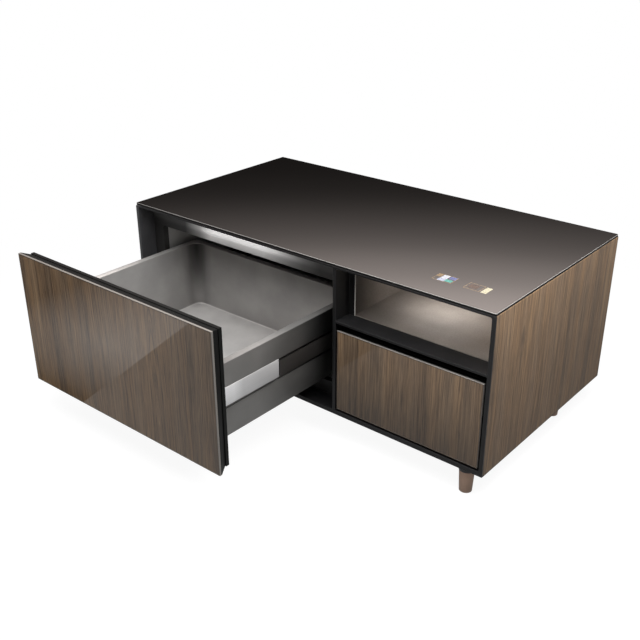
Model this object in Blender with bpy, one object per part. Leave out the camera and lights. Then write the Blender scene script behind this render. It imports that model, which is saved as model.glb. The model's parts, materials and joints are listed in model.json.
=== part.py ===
"""Refrigerator coffee table: a low cabinet with a refrigerator drawer, a lit niche and a small drawer.

Sizes are in metres. In every function x runs right from the cabinet's left side, y runs back from
its front face and z runs up from its underside, with both drawers shut. The empties that carry the
pieces put them in place: the refrigerator drawer stands open, as it is shown in use.
"""

import math

import bmesh
import bpy
from mathutils import Matrix, Vector

# Fits
GAP = 0.0003
OVERRUN = 0.006
EDGE = 0.0008

# Whole table
TABLE_WIDTH = 1.100
TABLE_DEPTH = 0.590
CABINET_HEIGHT = 0.392
FOOT_HEIGHT = 0.074
DRAWER_OPEN_SHARE = 0.6339

# Glass top
GLASS_THICK = 0.0055
GLASS_INSET = 0.001
GLASS_CORNER = 0.004

# Casing panels
SIDE_THICK = 0.007
SIDE_ROUND = 0.003
TOP_BOARD_THICK = 0.005
BASE_THICK = 0.012
BACK_THICK = 0.004
BACK_INSET = 0.0023
PARTITION_SHARE = 0.550847
PARTITION_THICK = 0.003

# Front frame
FRAME_FACE = 0.004
FRAME_WALL = 0.002
FRAME_CORNER = 0.005
RECESS_DEPTH = 0.052
TOP_BAR = 0.0049
POST_WIDTH = 0.009
FRIDGE_BAY_SHARE = 0.612455
SHELF_SHARE = 0.642857
SHELF_THICK = 0.0064

# Vents
VENT_WIDTH = 0.006
VENT_PITCH = 0.016
VENT_BAR = 0.023
VENT_RISE = 0.050
VENT_COUNT = 20
VENT_ROWS = 2
BASE_VENT_SETBACK = 0.017
BASE_VENT_LENGTH = 0.060
BASE_VENT_COUNT = 8

# Feet
FOOT_SIDE_INSET = 0.055
FOOT_FRONT_INSET = 0.033
FOOT_REAR_SHARE = 0.7695
COLLAR_HEIGHT = 0.018
COLLAR_RADIUS = 0.019
COLLAR_TOP_RADIUS = 0.0175
FOOT_TOP_RADIUS = 0.0178
FOOT_BOTTOM_RADIUS = 0.015
ROUND_STEPS = 28

# Refrigerator cavity
CAVITY_MARGIN = 0.0339
CAVITY_FLOOR = 0.048
CAVITY_TOP_FOAM = 0.0586
CAVITY_REAR_FOAM = 0.0384
CAVITY_ROUND = 0.006
CORNER_STEPS = 5
LINER_THICK = 0.0015
FLANGE_THICK = 0.0015
FLANGE_LIP = 0.017

# Evaporator on the cavity's rear wall
EVAPORATOR_MARGIN = 0.060
EVAPORATOR_RISE = 0.037
EVAPORATOR_DROP = 0.0223
EVAPORATOR_SHEET = 0.0012
EVAPORATOR_RIDGE = 0.0018
EVAPORATOR_PASSES = 6
RIDGE_WIDTH = 0.012

# Drawer fronts
FRONT_SIDE_GAP = 0.0043
FRONT_BOTTOM = 0.018
FRIDGE_TOP_GAP = 0.0187
SMALL_TOP_GAP = 0.0178
FRONT_GLASS_THICK = 0.005
TRIM_WIDTH = 0.0018
CHAMFER_LIP = 0.0015
CHAMFER_SIDE = 0.0105
CHAMFER_HIGH = 0.0080
CHAMFER_BACK = 0.028
PLATE_SIDE = 0.0087
PLATE_HIGH = 0.0061
FRONT_DEPTH = 0.038
GASKET_WIDTH = 0.0066
GASKET_INSET = 0.0135
GASKET_CROWN = 0.006

# Refrigerator bin
BIN_CLEARANCE = 0.0068
CHANNEL_DEPTH = 0.0153
TUB_WALL = 0.0027
TUB_FLOOR_THICK = 0.0041
BIN_TOP_SHARE = 0.645408
CHANNEL_TOP_SHARE = 0.496173
TRAY_TOP_SHARE = 0.336735
BIN_RISE = 0.014
BIN_REAR_GAP = 0.009
BIN_REAR_RIM = 0.0165
BIN_CORNER = 0.028
BIN_FLOOR_ROUND = 0.003
BIN_REAR_ROUND = 0.008
RIM_EDGE = 0.0012
TRAY_SHEET = 0.0016

# Slides
SLIDE_METAL = 0.0015
SLIDE_HALF = 0.022
SLIDE_LIP = 0.004
CABINET_MEMBER_OFFSET = 0.0105
MIDDLE_MEMBER_OFFSET = 0.0077
FRIDGE_SLIDE_FRONT = 0.055
FRIDGE_SLIDE_REAR_GAP = 0.060
BRACKET_SETBACK = 0.020
BRACKET_HIGH = 0.006
COVER_PROUD = 0.0006
COVER_BOTTOM_SHARE = 0.377551
COVER_REAR = 0.233
COVER_BEVEL = 0.0015

# Niche
NICHE_SIDE = 0.017
NICHE_TOP_SPACE = 0.0089
NICHE_REAR_SPACE = 0.0027
NICHE_LINER = 0.0015
SURROUND_THICK = 0.0015
SURROUND_LAP = 0.0014
LIGHT_WIDTH = 0.010
LIGHT_HIGH = 0.004
LIGHT_START = 0.080
LIGHT_REAR_SPACE = 0.0523
LIGHT_SIDE_GAP = 0.022

# Small drawer
SMALL_SLIDE_SPACE = 0.0126
SMALL_SLIDE_FRONT = 0.055
SMALL_SLIDE_REAR_GAP = 0.030
SMALL_BOX_BOTTOM = 0.026
SMALL_BOX_DROP = 0.0378
SMALL_BOX_REAR_GAP = 0.025
SMALL_BOX_WALL = 0.010
SMALL_BOX_FLOOR = 0.006

# Touch modules under the glass
DISPLAY_PLACE = 0.203
CHARGER_PLACE = 0.122
MODULE_FRONT = 0.069
MODULE_LENGTH = 0.037
DISPLAY_WIDTH = 0.052
CHARGER_WIDTH = 0.056
MODULE_THICK = 0.0105

# Compressor
COMPRESSOR_SHARE = 0.269
COMPRESSOR_REAR = 0.138
CAN_RADIUS = 0.062
CAN_STRETCH_SHARE = 1.14
CAN_FOOT_RISE = 0.014
CAN_WALL_HIGH = 0.105
CAN_DOME_HIGH = 0.034
CAN_DOME_STEPS = 5
CAN_SEAM = 0.003
CAN_SEAM_HIGH = 0.006
PAD_THICK = 0.004
PAD_LENGTH = 0.170
PAD_WIDTH = 0.100
PAD_FOOT_RADIUS = 0.010

# Condenser
CONDENSER_SIDE_GAP = 0.0127
CONDENSER_WIDTH = 0.150
CONDENSER_REAR = 0.032
CONDENSER_DEPTH = 0.036
CONDENSER_TOP = 0.190
CONDENSER_SILL = 0.010
FIN_COUNT = 15
FIN_THICK = 0.0012
END_PLATE = 0.004
TUBE_RADIUS = 0.004
TUBE_ROWS = 3

# Fan
FAN_SIZE = 0.130
FAN_DEPTH = 0.028
FAN_REAR_GAP = 0.006
FAN_CORNER = 0.008
FAN_HOLE_RADIUS = 0.058
FAN_TIP_GAP = 0.0025
HUB_RADIUS = 0.018
MOTOR_DEPTH = 0.008
HUB_FRONT_GAP = 0.002
STRUT_WIDTH = 0.005
STRUT_DEPTH = 0.004
BLADE_COUNT = 7
BLADE_THICK = 0.0016
BLADE_CHORD = 0.030
BLADE_ROOT_ANGLE = math.radians(48)
BLADE_TIP_ANGLE = math.radians(30)

# Control board and power inlet
BOARD_SETBACK = 0.017
BOARD_LENGTH = 0.100
BOARD_TALL = 0.120
BOARD_DROP = 0.0609
BOARD_THICK = 0.0016
BOARD_STAND = 0.006
STAND_RADIUS = 0.003
PARTS_HIGH = 0.015
INLET_SETBACK = 0.0297
INLET_LOW = 0.044
INLET_WIDTH = 0.048
INLET_HIGH = 0.026
INLET_FLANGE_SIDE = 0.007
INLET_BODY_DEPTH = 0.024
INLET_WALL = 0.003
INLET_PIN = 0.003
INLET_PIN_STEP = 0.007

# Discharge pipe from compressor to condenser
PIPE_RADIUS = 0.003
PIPE_RISE = 0.040
PIPE_BEND_POINTS = 24

# Places worked out from the sizes above
DRAWER_OPEN = TABLE_DEPTH * DRAWER_OPEN_SHARE
UNDER_GLASS = CABINET_HEIGHT - GLASS_THICK - GAP
INNER_LEFT = SIDE_THICK + GAP
INNER_RIGHT = TABLE_WIDTH - INNER_LEFT
BAY_LEFT = INNER_LEFT + FRAME_WALL
BAY_RIGHT = TABLE_WIDTH - BAY_LEFT
POST_LEFT = BAY_LEFT + TABLE_WIDTH * FRIDGE_BAY_SHARE
POST_RIGHT = POST_LEFT + POST_WIDTH
WINDOW_TOP = UNDER_GLASS - TOP_BAR
SHELF_TOP = CABINET_HEIGHT * SHELF_SHARE
SHELF_BOTTOM = SHELF_TOP - SHELF_THICK
INSIDE_FRONT = RECESS_DEPTH + GAP
BACK_REAR = TABLE_DEPTH - BACK_INSET
BACK_FRONT = BACK_REAR - BACK_THICK
INSIDE_BACK = BACK_FRONT - GAP
FLOOR = BASE_THICK + GAP
UNDER_BOARD = UNDER_GLASS - TOP_BOARD_THICK - GAP
MACHINE_LEFT = POST_RIGHT + GAP
MACHINE_RIGHT = INNER_RIGHT
PARTITION_FRONT = TABLE_DEPTH * PARTITION_SHARE
PARTITION_REAR = PARTITION_FRONT + PARTITION_THICK
VENT_LOW = INLET_LOW + INLET_HIGH + VENT_RISE
VENT_ROW_STEP = (UNDER_GLASS - VENT_LOW) / VENT_ROWS
FOAM_FRONT = INSIDE_FRONT + FLANGE_THICK + GAP
LINER_FRONT = INSIDE_FRONT + FLANGE_LIP + GAP
CAVITY_LEFT = BAY_LEFT + CAVITY_MARGIN
CAVITY_RIGHT = POST_LEFT - CAVITY_MARGIN
CAVITY_TOP = UNDER_BOARD - CAVITY_TOP_FOAM
CAVITY_BACK = INSIDE_BACK - CAVITY_REAR_FOAM
EVAPORATOR_LOW = CAVITY_FLOOR + EVAPORATOR_RISE
EVAPORATOR_HIGH = CAVITY_TOP - EVAPORATOR_DROP
FRIDGE_FRONT_TOP = WINDOW_TOP - FRIDGE_TOP_GAP
SMALL_FRONT_TOP = SHELF_BOTTOM - SMALL_TOP_GAP
BIN_LEFT = CAVITY_LEFT + BIN_CLEARANCE
BIN_RIGHT = CAVITY_RIGHT - BIN_CLEARANCE
BIN_FRONT = FRONT_DEPTH + GAP
BIN_REAR = CAVITY_BACK - BIN_REAR_GAP
BIN_BOTTOM = CAVITY_FLOOR + BIN_RISE
BIN_TOP = CABINET_HEIGHT * BIN_TOP_SHARE
CHANNEL_TOP = CABINET_HEIGHT * CHANNEL_TOP_SHARE
TRAY_TOP = CABINET_HEIGHT * TRAY_TOP_SHARE
TUB_LEFT = BIN_LEFT + CHANNEL_DEPTH
TUB_RIGHT = BIN_RIGHT - CHANNEL_DEPTH
TUB_BOTTOM = BIN_BOTTOM + TRAY_SHEET + GAP
TUB_REAR = BIN_REAR - BIN_REAR_RIM + TUB_WALL
TUB_FACES = (TUB_LEFT, TUB_RIGHT)
BIN_FACES = (BIN_LEFT, BIN_RIGHT)
COVER_TOP = CHANNEL_TOP - GAP
COVER_BOTTOM = CABINET_HEIGHT * COVER_BOTTOM_SHARE
CHANNEL_MIDDLE = (CHANNEL_TOP + TRAY_TOP) / 2
FRIDGE_SLIDE_LENGTH = CAVITY_BACK - FRIDGE_SLIDE_REAR_GAP - FRIDGE_SLIDE_FRONT
NICHE_LEFT = POST_RIGHT + NICHE_SIDE
NICHE_RIGHT = BAY_RIGHT - NICHE_SIDE
NICHE_FLOOR = SHELF_TOP + GAP + NICHE_LINER
NICHE_TOP = UNDER_BOARD - NICHE_TOP_SPACE
NICHE_BACK = PARTITION_FRONT - NICHE_REAR_SPACE
LIGHT_LENGTH = NICHE_BACK - LIGHT_REAR_SPACE - LIGHT_START
SMALL_BOX_LEFT = POST_RIGHT + SMALL_SLIDE_SPACE
SMALL_BOX_RIGHT = TABLE_WIDTH - SIDE_THICK - SMALL_SLIDE_SPACE
SMALL_BOX_TOP = SMALL_FRONT_TOP - SMALL_BOX_DROP
SMALL_BOX_REAR = PARTITION_FRONT - SMALL_BOX_REAR_GAP
SMALL_SLIDE_HEIGHT = (SMALL_BOX_BOTTOM + SMALL_BOX_TOP) / 2
SMALL_SLIDE_LENGTH = PARTITION_FRONT - SMALL_SLIDE_REAR_GAP - SMALL_SLIDE_FRONT
DISPLAY_LEFT = TABLE_WIDTH - DISPLAY_PLACE
CHARGER_LEFT = TABLE_WIDTH - CHARGER_PLACE
COMPRESSOR_X = MACHINE_LEFT + (MACHINE_RIGHT - MACHINE_LEFT) * COMPRESSOR_SHARE
COMPRESSOR_Y = TABLE_DEPTH - COMPRESSOR_REAR
CAN_BOTTOM = FLOOR + CAN_FOOT_RISE
CAN_TOP = CAN_BOTTOM + CAN_WALL_HIGH + CAN_DOME_HIGH
CONDENSER_LEFT = MACHINE_RIGHT - CONDENSER_SIDE_GAP - CONDENSER_WIDTH
CONDENSER_FRONT = TABLE_DEPTH - CONDENSER_REAR - CONDENSER_DEPTH
FAN_FRONT = CONDENSER_FRONT - FAN_REAR_GAP - FAN_DEPTH
FAN_X = CONDENSER_LEFT + CONDENSER_WIDTH / 2
FAN_Z = FLOOR + FAN_SIZE / 2
FAN_Y = FAN_FRONT + FAN_DEPTH - MOTOR_DEPTH - GAP
BOARD_FRONT = PARTITION_REAR + BOARD_SETBACK
BOARD_HIGH = UNDER_BOARD - BOARD_DROP
BOARD_LOW = BOARD_HIGH - BOARD_TALL
INLET_LEFT = MACHINE_LEFT + INLET_SETBACK

BLACK = (0.020, 0.021, 0.022)
STEEL = (0.45, 0.45, 0.46)
WALNUT = (0.17, 0.11, 0.075)
SLIDE = (0.16, 0.155, 0.15)


# Materials and objects


def material(name, colour, roughness, metallic=0.0):
    """A Principled finish, made once for each name."""
    found = bpy.data.materials.get(name)
    if found:
        return found
    made = bpy.data.materials.new(name)
    made.use_nodes = True
    shader = made.node_tree.nodes["Principled BSDF"]
    shader.inputs["Base Color"].default_value = (*colour, 1.0)
    shader.inputs["Roughness"].default_value = roughness
    shader.inputs["Metallic"].default_value = metallic
    made.diffuse_color = (*colour, 1.0)
    return made


def clear_scene():
    """Remove what a new file holds."""
    for thing in list(bpy.data.objects):
        bpy.data.objects.remove(thing, do_unlink=True)


def carrier(name, place, parent=None):
    """An empty that carries the pieces of one body."""
    empty = bpy.data.objects.new(name, None)
    empty.location = place
    empty.parent = parent
    bpy.context.scene.collection.objects.link(empty)
    return empty


def piece(name, bm, finish, parent):
    """Turn a bmesh into a named piece of one body."""
    bmesh.ops.remove_doubles(bm, verts=bm.verts, dist=GAP / 10)
    bmesh.ops.recalc_face_normals(bm, faces=bm.faces)
    mesh = bpy.data.meshes.new(name)
    bm.to_mesh(mesh)
    bm.free()
    mesh.materials.append(finish)
    made = bpy.data.objects.new(name, mesh)
    made.parent = parent
    bpy.context.scene.collection.objects.link(made)
    return made


def smooth(made, angle=math.radians(35)):
    """Shade the round faces of a piece smooth."""
    made.data.shade_smooth()
    made.data.set_sharp_from_angle(angle=angle)
    return made


def boolean(made, tool_bm, operation):
    """Cut a shape out of a piece, or join it on, and keep the result in the piece's mesh."""
    tool = piece(made.name + "_tool", tool_bm, made.data.materials[0], made.parent)
    tool.hide_render = True
    tool.display_type = "WIRE"
    change = made.modifiers.new(operation.title(), "BOOLEAN")
    change.operation = operation
    change.solver = "EXACT"
    change.use_self = operation == "UNION"
    change.object = tool
    graph = bpy.context.evaluated_depsgraph_get()
    graph.update()
    shaped = bpy.data.meshes.new_from_object(made.evaluated_get(graph))
    made.modifiers.clear()
    old = made.data
    made.data = shaped
    bpy.data.meshes.remove(old)
    shaped.name = made.name
    spare = tool.data
    bpy.data.objects.remove(tool, do_unlink=True)
    bpy.data.meshes.remove(spare)
    return made


def cut(made, tool_bm):
    """Cut a shape out of a piece."""
    return boolean(made, tool_bm, "DIFFERENCE")


def join(made, tool_bm):
    """Join a shape to a piece."""
    return boolean(made, tool_bm, "UNION")


# Basic shapes


def box(low, high):
    """A block between two corners."""
    bm = bmesh.new()
    add_box(bm, low, high)
    return bm


def add_box(bm, low, high):
    """Add a block between two corners to a bmesh."""
    made = bmesh.ops.create_cube(bm, size=1)
    size = Vector(high) - Vector(low)
    middle = (Vector(high) + Vector(low)) / 2
    bmesh.ops.scale(bm, vec=size, verts=made["verts"])
    bmesh.ops.translate(bm, vec=middle, verts=made["verts"])


def extruded(outline, along):
    """A closed outline pushed along a vector."""
    bm = bmesh.new()
    face = bm.faces.new([bm.verts.new(point) for point in outline])
    pushed = bmesh.ops.extrude_face_region(bm, geom=[face])
    moved = [item for item in pushed["geom"] if isinstance(item, bmesh.types.BMVert)]
    bmesh.ops.translate(bm, vec=along, verts=moved)
    return bm


def across_depth(points, front, rear):
    """An outline in x and z pushed from front to rear."""
    return extruded([(x, front, z) for x, z in points], (0, rear - front, 0))


def loft(loops, closed=False):
    """Skin loops of points in turn, and fill both ends unless the run closes on itself."""
    bm = bmesh.new()
    rings = [[bm.verts.new(point) for point in loop] for loop in loops]
    pairs = list(zip(rings, rings[1:]))
    if closed:
        pairs.append((rings[-1], rings[0]))
    else:
        bm.faces.new(rings[0])
        bm.faces.new(rings[-1])
    for one, other in pairs:
        for corner in range(len(one)):
            bm.faces.new((one[corner - 1], one[corner], other[corner], other[corner - 1]))
    return bm


def rectangle(left, right, low, high, inset_x=0, inset_z=0):
    """Corner points of a rectangle in x and z."""
    left, right = left + inset_x, right - inset_x
    low, high = low + inset_z, high - inset_z
    return [(left, low), (right, low), (right, high), (left, high)]


def rounded(left, right, low, high, radius, steps=CORNER_STEPS):
    """Outline of a rectangle with round corners."""
    centres = (
        (right - radius, high - radius),
        (left + radius, high - radius),
        (left + radius, low + radius),
        (right - radius, low + radius),
    )
    points = []
    for corner, (x, z) in enumerate(centres):
        for step in range(steps + 1):
            turn = math.pi / 2 * (corner + step / steps)
            points.append((x + radius * math.cos(turn), z + radius * math.sin(turn)))
    return points


def arched(left, right, low, high, radius):
    """Outline of a rectangle with round upper corners."""
    return rounded(left, right, low, high, radius)[: 2 * CORNER_STEPS + 2] + [(left, low), (right, low)]


def upright(points, y):
    """Put an outline in x and z at one depth."""
    return [(x, y, z) for x, z in points]


def flat(points, z):
    """Put an outline in x and y at one height."""
    return [(x, y, z) for x, y in points]


def turned(profile, centre, axis="Z", steps=ROUND_STEPS):
    """Spin a profile of radius and height round an upright or a front-to-back axis."""
    bm = bmesh.new()
    verts = [bm.verts.new((radius, 0, height)) for radius, height in profile]
    edges = [bm.edges.new(pair) for pair in zip(verts, verts[1:])]
    bmesh.ops.spin(
        bm,
        geom=verts + edges,
        cent=(0, 0, 0),
        axis=(0, 0, 1),
        angle=math.tau,
        steps=steps,
        use_merge=True,
    )
    bmesh.ops.remove_doubles(bm, verts=bm.verts, dist=GAP / 10)
    if axis == "Y":
        bmesh.ops.rotate(bm, verts=bm.verts, matrix=Matrix.Rotation(-math.pi / 2, 3, "X"))
    bmesh.ops.translate(bm, verts=bm.verts, vec=centre)
    return bm


def bevelled(bm, edges, width, segments=1):
    """Take the given edges down."""
    bmesh.ops.bevel(
        bm,
        geom=edges,
        offset=width,
        segments=segments,
        profile=0.5,
        affect="EDGES",
        material=-1,
    )
    return bm


def edges_where(bm, test):
    """Edges whose both ends pass a test."""
    return [edge for edge in bm.edges if all(test(vert.co) for vert in edge.verts)]


def near(a, b):
    """True where two places are the same."""
    return abs(a - b) < GAP / 10


# Casing


def glass_top(parent):
    """Dark glass sheet over the whole cabinet."""
    right, rear = TABLE_WIDTH - GLASS_INSET, TABLE_DEPTH - GLASS_INSET
    outline = rounded(GLASS_INSET, right, GLASS_INSET, rear, GLASS_CORNER)
    low, high = CABINET_HEIGHT - GLASS_THICK, CABINET_HEIGHT
    bm = extruded(flat(outline, low), (0, 0, high - low))
    top = edges_where(bm, lambda co: near(co.z, high))
    bevelled(bm, top, EDGE)
    finish = material("dark_glass", (0.03, 0.028, 0.027), 0.08)
    return piece("top_glass", bm, finish, parent)


def side_panel(name, left, outer, parent):
    """Wood-look side panel with rounded outer edges."""
    low = (left, FRAME_FACE + GAP, 0)
    high = (left + SIDE_THICK, TABLE_DEPTH, UNDER_GLASS)
    bm = box(low, high)
    upper = edges_where(bm, lambda co: near(co.x, outer) and near(co.z, UNDER_GLASS))
    rear = edges_where(bm, lambda co: near(co.x, outer) and near(co.y, TABLE_DEPTH))
    bevelled(bm, upper + rear, SIDE_ROUND, 3)
    return smooth(piece(name, bm, material("walnut", WALNUT, 0.35), parent))


def front_frame(parent):
    """Black front frame: posts, bars, shelf edge, recess walls and the thin surround of the niche."""
    bm = across_depth(arched(0, TABLE_WIDTH, 0, UNDER_GLASS, FRAME_CORNER), 0, RECESS_DEPTH)
    made = piece("front_frame", bm, material("frame_black", BLACK, 0.45), parent)
    windows = bmesh.new()
    rear = RECESS_DEPTH + OVERRUN
    surround = RECESS_DEPTH - SURROUND_THICK
    add_box(windows, (BAY_LEFT, -OVERRUN, BASE_THICK), (POST_LEFT, rear, WINDOW_TOP))
    add_box(windows, (POST_RIGHT, -OVERRUN, BASE_THICK), (BAY_RIGHT, rear, SHELF_BOTTOM))
    cut(made, windows)
    opening = arched(POST_RIGHT, BAY_RIGHT, SHELF_TOP, WINDOW_TOP, FRAME_CORNER)
    cut(made, across_depth(opening, -OVERRUN, surround))
    lap = SURROUND_LAP
    mouth = box(
        (NICHE_LEFT - lap, surround - OVERRUN, SHELF_TOP),
        (NICHE_RIGHT + lap, rear, NICHE_TOP + lap),
    )
    cut(made, mouth)
    rebates = bmesh.new()
    high = UNDER_GLASS + OVERRUN
    add_box(rebates, (-OVERRUN, FRAME_FACE, -OVERRUN), (INNER_LEFT, rear, high))
    add_box(rebates, (INNER_RIGHT, FRAME_FACE, -OVERRUN), (TABLE_WIDTH + OVERRUN, rear, high))
    return cut(made, rebates)


def top_board(parent):
    """Board under the glass, cut out for the two modules."""
    low = (INNER_LEFT, INSIDE_FRONT, UNDER_GLASS - TOP_BOARD_THICK)
    made = piece(
        "top_board",
        box(low, (INNER_RIGHT, INSIDE_BACK, UNDER_GLASS)),
        material("frame_black", BLACK, 0.45),
        parent,
    )
    holes = bmesh.new()
    for left, width in ((DISPLAY_LEFT, DISPLAY_WIDTH), (CHARGER_LEFT, CHARGER_WIDTH)):
        add_box(
            holes,
            (left - GAP, MODULE_FRONT - GAP, low[2] - OVERRUN),
            (left + width + GAP, MODULE_FRONT + MODULE_LENGTH + GAP, UNDER_GLASS + OVERRUN),
        )
    return cut(made, holes)


def base_panel(parent):
    """Bottom board, with air slots under the machine bay."""
    made = piece(
        "base_panel",
        box((INNER_LEFT, INSIDE_FRONT, 0), (INNER_RIGHT, INSIDE_BACK, BASE_THICK)),
        material("base_grey", (0.05, 0.05, 0.05), 0.6),
        parent,
    )
    slots = bmesh.new()
    first = FAN_X - VENT_PITCH * (BASE_VENT_COUNT - 1) / 2
    front = PARTITION_REAR + BASE_VENT_SETBACK
    rear = front + BASE_VENT_LENGTH
    for step in range(BASE_VENT_COUNT):
        x = first + VENT_PITCH * step
        add_box(
            slots,
            (x - VENT_WIDTH / 2, front, -OVERRUN),
            (x + VENT_WIDTH / 2, rear, BASE_THICK + OVERRUN),
        )
    return cut(made, slots)


def back_panel(parent):
    """Back panel with rows of vents behind the machine bay and a hole for the power inlet."""
    made = piece(
        "back_panel",
        box((INNER_LEFT, BACK_FRONT, 0), (INNER_RIGHT, BACK_REAR, UNDER_GLASS)),
        material("base_grey", (0.05, 0.05, 0.05), 0.6),
        parent,
    )
    holes = bmesh.new()
    middle = (MACHINE_LEFT + MACHINE_RIGHT) / 2
    first = middle - VENT_PITCH * (VENT_COUNT - 1) / 2
    for row in range(VENT_ROWS):
        low = VENT_LOW + VENT_ROW_STEP * row
        for step in range(VENT_COUNT):
            x = first + VENT_PITCH * step
            add_box(
                holes,
                (x - VENT_WIDTH / 2, BACK_FRONT - OVERRUN, low),
                (x + VENT_WIDTH / 2, BACK_REAR + OVERRUN, low + VENT_ROW_STEP - VENT_BAR),
            )
    add_box(
        holes,
        (INLET_LEFT - GAP, BACK_FRONT - OVERRUN, INLET_LOW - GAP),
        (INLET_LEFT + INLET_WIDTH + GAP, BACK_REAR + OVERRUN, INLET_LOW + INLET_HIGH + GAP),
    )
    return cut(made, holes)


def inner_walls(parent):
    """Divider between the bays, partition in front of the machine bay, and the niche's shelf."""
    finish = material("frame_black", BLACK, 0.45)
    divider = box((POST_LEFT, INSIDE_FRONT, FLOOR), (POST_RIGHT, INSIDE_BACK, UNDER_BOARD))
    piece("bay_divider", divider, finish, parent)
    front = PARTITION_FRONT
    partition = box((MACHINE_LEFT, front, FLOOR), (MACHINE_RIGHT, PARTITION_REAR, UNDER_BOARD))
    piece("machine_partition", partition, finish, parent)
    shelf = box((MACHINE_LEFT, INSIDE_FRONT, SHELF_BOTTOM), (MACHINE_RIGHT, front - GAP, SHELF_TOP))
    piece("niche_shelf", shelf, finish, parent)


def foot(name, x, y, parent):
    """Black collar and tapered foot under it."""
    collar = [
        (0, -GAP),
        (COLLAR_TOP_RADIUS, -GAP),
        (COLLAR_RADIUS, -GAP - EDGE),
        (COLLAR_RADIUS, -COLLAR_HEIGHT + EDGE),
        (COLLAR_RADIUS - EDGE, -COLLAR_HEIGHT),
        (0, -COLLAR_HEIGHT),
    ]
    made = turned(collar, (x, y, 0))
    smooth(piece("foot_collar_" + name, made, material("collar_black", BLACK, 0.4), parent))
    high = -COLLAR_HEIGHT - GAP
    leg = [
        (0, high),
        (FOOT_TOP_RADIUS - EDGE, high),
        (FOOT_TOP_RADIUS, high - EDGE),
        (FOOT_BOTTOM_RADIUS, -FOOT_HEIGHT + EDGE),
        (FOOT_BOTTOM_RADIUS - EDGE, -FOOT_HEIGHT),
        (0, -FOOT_HEIGHT),
    ]
    finish = material("bronze", (0.30, 0.23, 0.18), 0.35, 0.8)
    smooth(piece("foot_" + name, turned(leg, (x, y, 0)), finish, parent))


def feet(parent):
    """Four feet, two under the front edge and two nearer the middle at the back."""
    rows = (("front", FOOT_FRONT_INSET), ("rear", TABLE_DEPTH * FOOT_REAR_SHARE))
    sides = (("left", FOOT_SIDE_INSET), ("right", TABLE_WIDTH - FOOT_SIDE_INSET))
    for row, y in rows:
        for side, x in sides:
            foot(row + "_" + side, x, y, parent)


# Refrigerator body


def cavity_outline(grow):
    """Outline of the cavity, grown by a wall."""
    return rounded(
        CAVITY_LEFT - grow,
        CAVITY_RIGHT + grow,
        CAVITY_FLOOR - grow,
        CAVITY_TOP + grow,
        CAVITY_ROUND + grow,
    )


def face_flange(parent):
    """Steel flange that the door gasket closes on, with a lip turned back into the cavity."""
    outer = rectangle(INNER_LEFT, POST_LEFT - GAP, FLOOR, UNDER_BOARD)
    made = piece(
        "face_flange",
        across_depth(outer, INSIDE_FRONT, INSIDE_FRONT + FLANGE_THICK),
        material("flange_steel", STEEL, 0.3, 0.9),
        parent,
    )
    rear = INSIDE_FRONT + FLANGE_LIP
    join(made, across_depth(cavity_outline(FLANGE_THICK), INSIDE_FRONT + FLANGE_THICK / 2, rear))
    cut(made, across_depth(cavity_outline(0), INSIDE_FRONT - OVERRUN, rear + OVERRUN))
    return smooth(made)


def cavity_liner(parent):
    """Light grey tub that lines the cavity."""
    outer = cavity_outline(LINER_THICK)
    inner = cavity_outline(0)
    loops = [
        upright(outer, CAVITY_BACK + LINER_THICK),
        upright(outer, LINER_FRONT),
        upright(inner, LINER_FRONT),
        upright(inner, CAVITY_BACK),
    ]
    finish = material("liner_grey", (0.55, 0.55, 0.54), 0.35)
    return smooth(piece("cavity_liner", loft(loops), finish, parent))


def insulation(parent):
    """Foam body round the liner and the flange's lip."""
    made = piece(
        "insulation_body",
        box((INNER_LEFT, FOAM_FRONT, FLOOR), (POST_LEFT - GAP, INSIDE_BACK, UNDER_BOARD)),
        material("foam", (0.75, 0.70, 0.55), 0.9),
        parent,
    )
    lip = cavity_outline(FLANGE_THICK + GAP)
    cut(made, across_depth(lip, FOAM_FRONT - OVERRUN, LINER_FRONT))
    tub = cavity_outline(LINER_THICK + GAP)
    return cut(made, across_depth(tub, FOAM_FRONT - OVERRUN, CAVITY_BACK + LINER_THICK + GAP))


def evaporator(parent):
    """Evaporator plate with its channel raised in level passes."""
    rear = CAVITY_BACK - GAP
    sheet = rear - EVAPORATOR_SHEET
    ridge = sheet - EVAPORATOR_RIDGE
    pitch = (EVAPORATOR_HIGH - EVAPORATOR_LOW) / EVAPORATOR_PASSES
    section = [(rear, EVAPORATOR_LOW), (sheet, EVAPORATOR_LOW)]
    for index in range(EVAPORATOR_PASSES):
        middle = EVAPORATOR_LOW + pitch * (index + 1 / 2)
        section += [
            (sheet, middle - RIDGE_WIDTH / 2),
            (ridge, middle - RIDGE_WIDTH / 4),
            (ridge, middle + RIDGE_WIDTH / 4),
            (sheet, middle + RIDGE_WIDTH / 2),
        ]
    section += [(sheet, EVAPORATOR_HIGH), (rear, EVAPORATOR_HIGH)]
    left, right = CAVITY_LEFT + EVAPORATOR_MARGIN, CAVITY_RIGHT - EVAPORATOR_MARGIN
    bm = extruded([(left, y, z) for y, z in section], (right - left, 0, 0))
    return piece("evaporator_plate", bm, material("evaporator", (0.7, 0.7, 0.7), 0.4, 0.8), parent)


# Drawer fronts


def front_trim(name, left, right, high, parent):
    """Thin light metal trim round a drawer front."""
    outer = rectangle(left, right, FRONT_BOTTOM, high)
    inner = rectangle(left, right, FRONT_BOTTOM, high, TRIM_WIDTH, TRIM_WIDTH)
    soft = rectangle(left, right, FRONT_BOTTOM, high, EDGE / 2, EDGE / 2)
    loops = [
        upright(outer, EDGE / 2),
        upright(outer, FRONT_GLASS_THICK),
        upright(inner, FRONT_GLASS_THICK),
        upright(inner, 0),
        upright(soft, 0),
    ]
    return piece(name, loft(loops, closed=True), material("trim", (0.62, 0.58, 0.55), 0.3, 0.9), parent)


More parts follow.
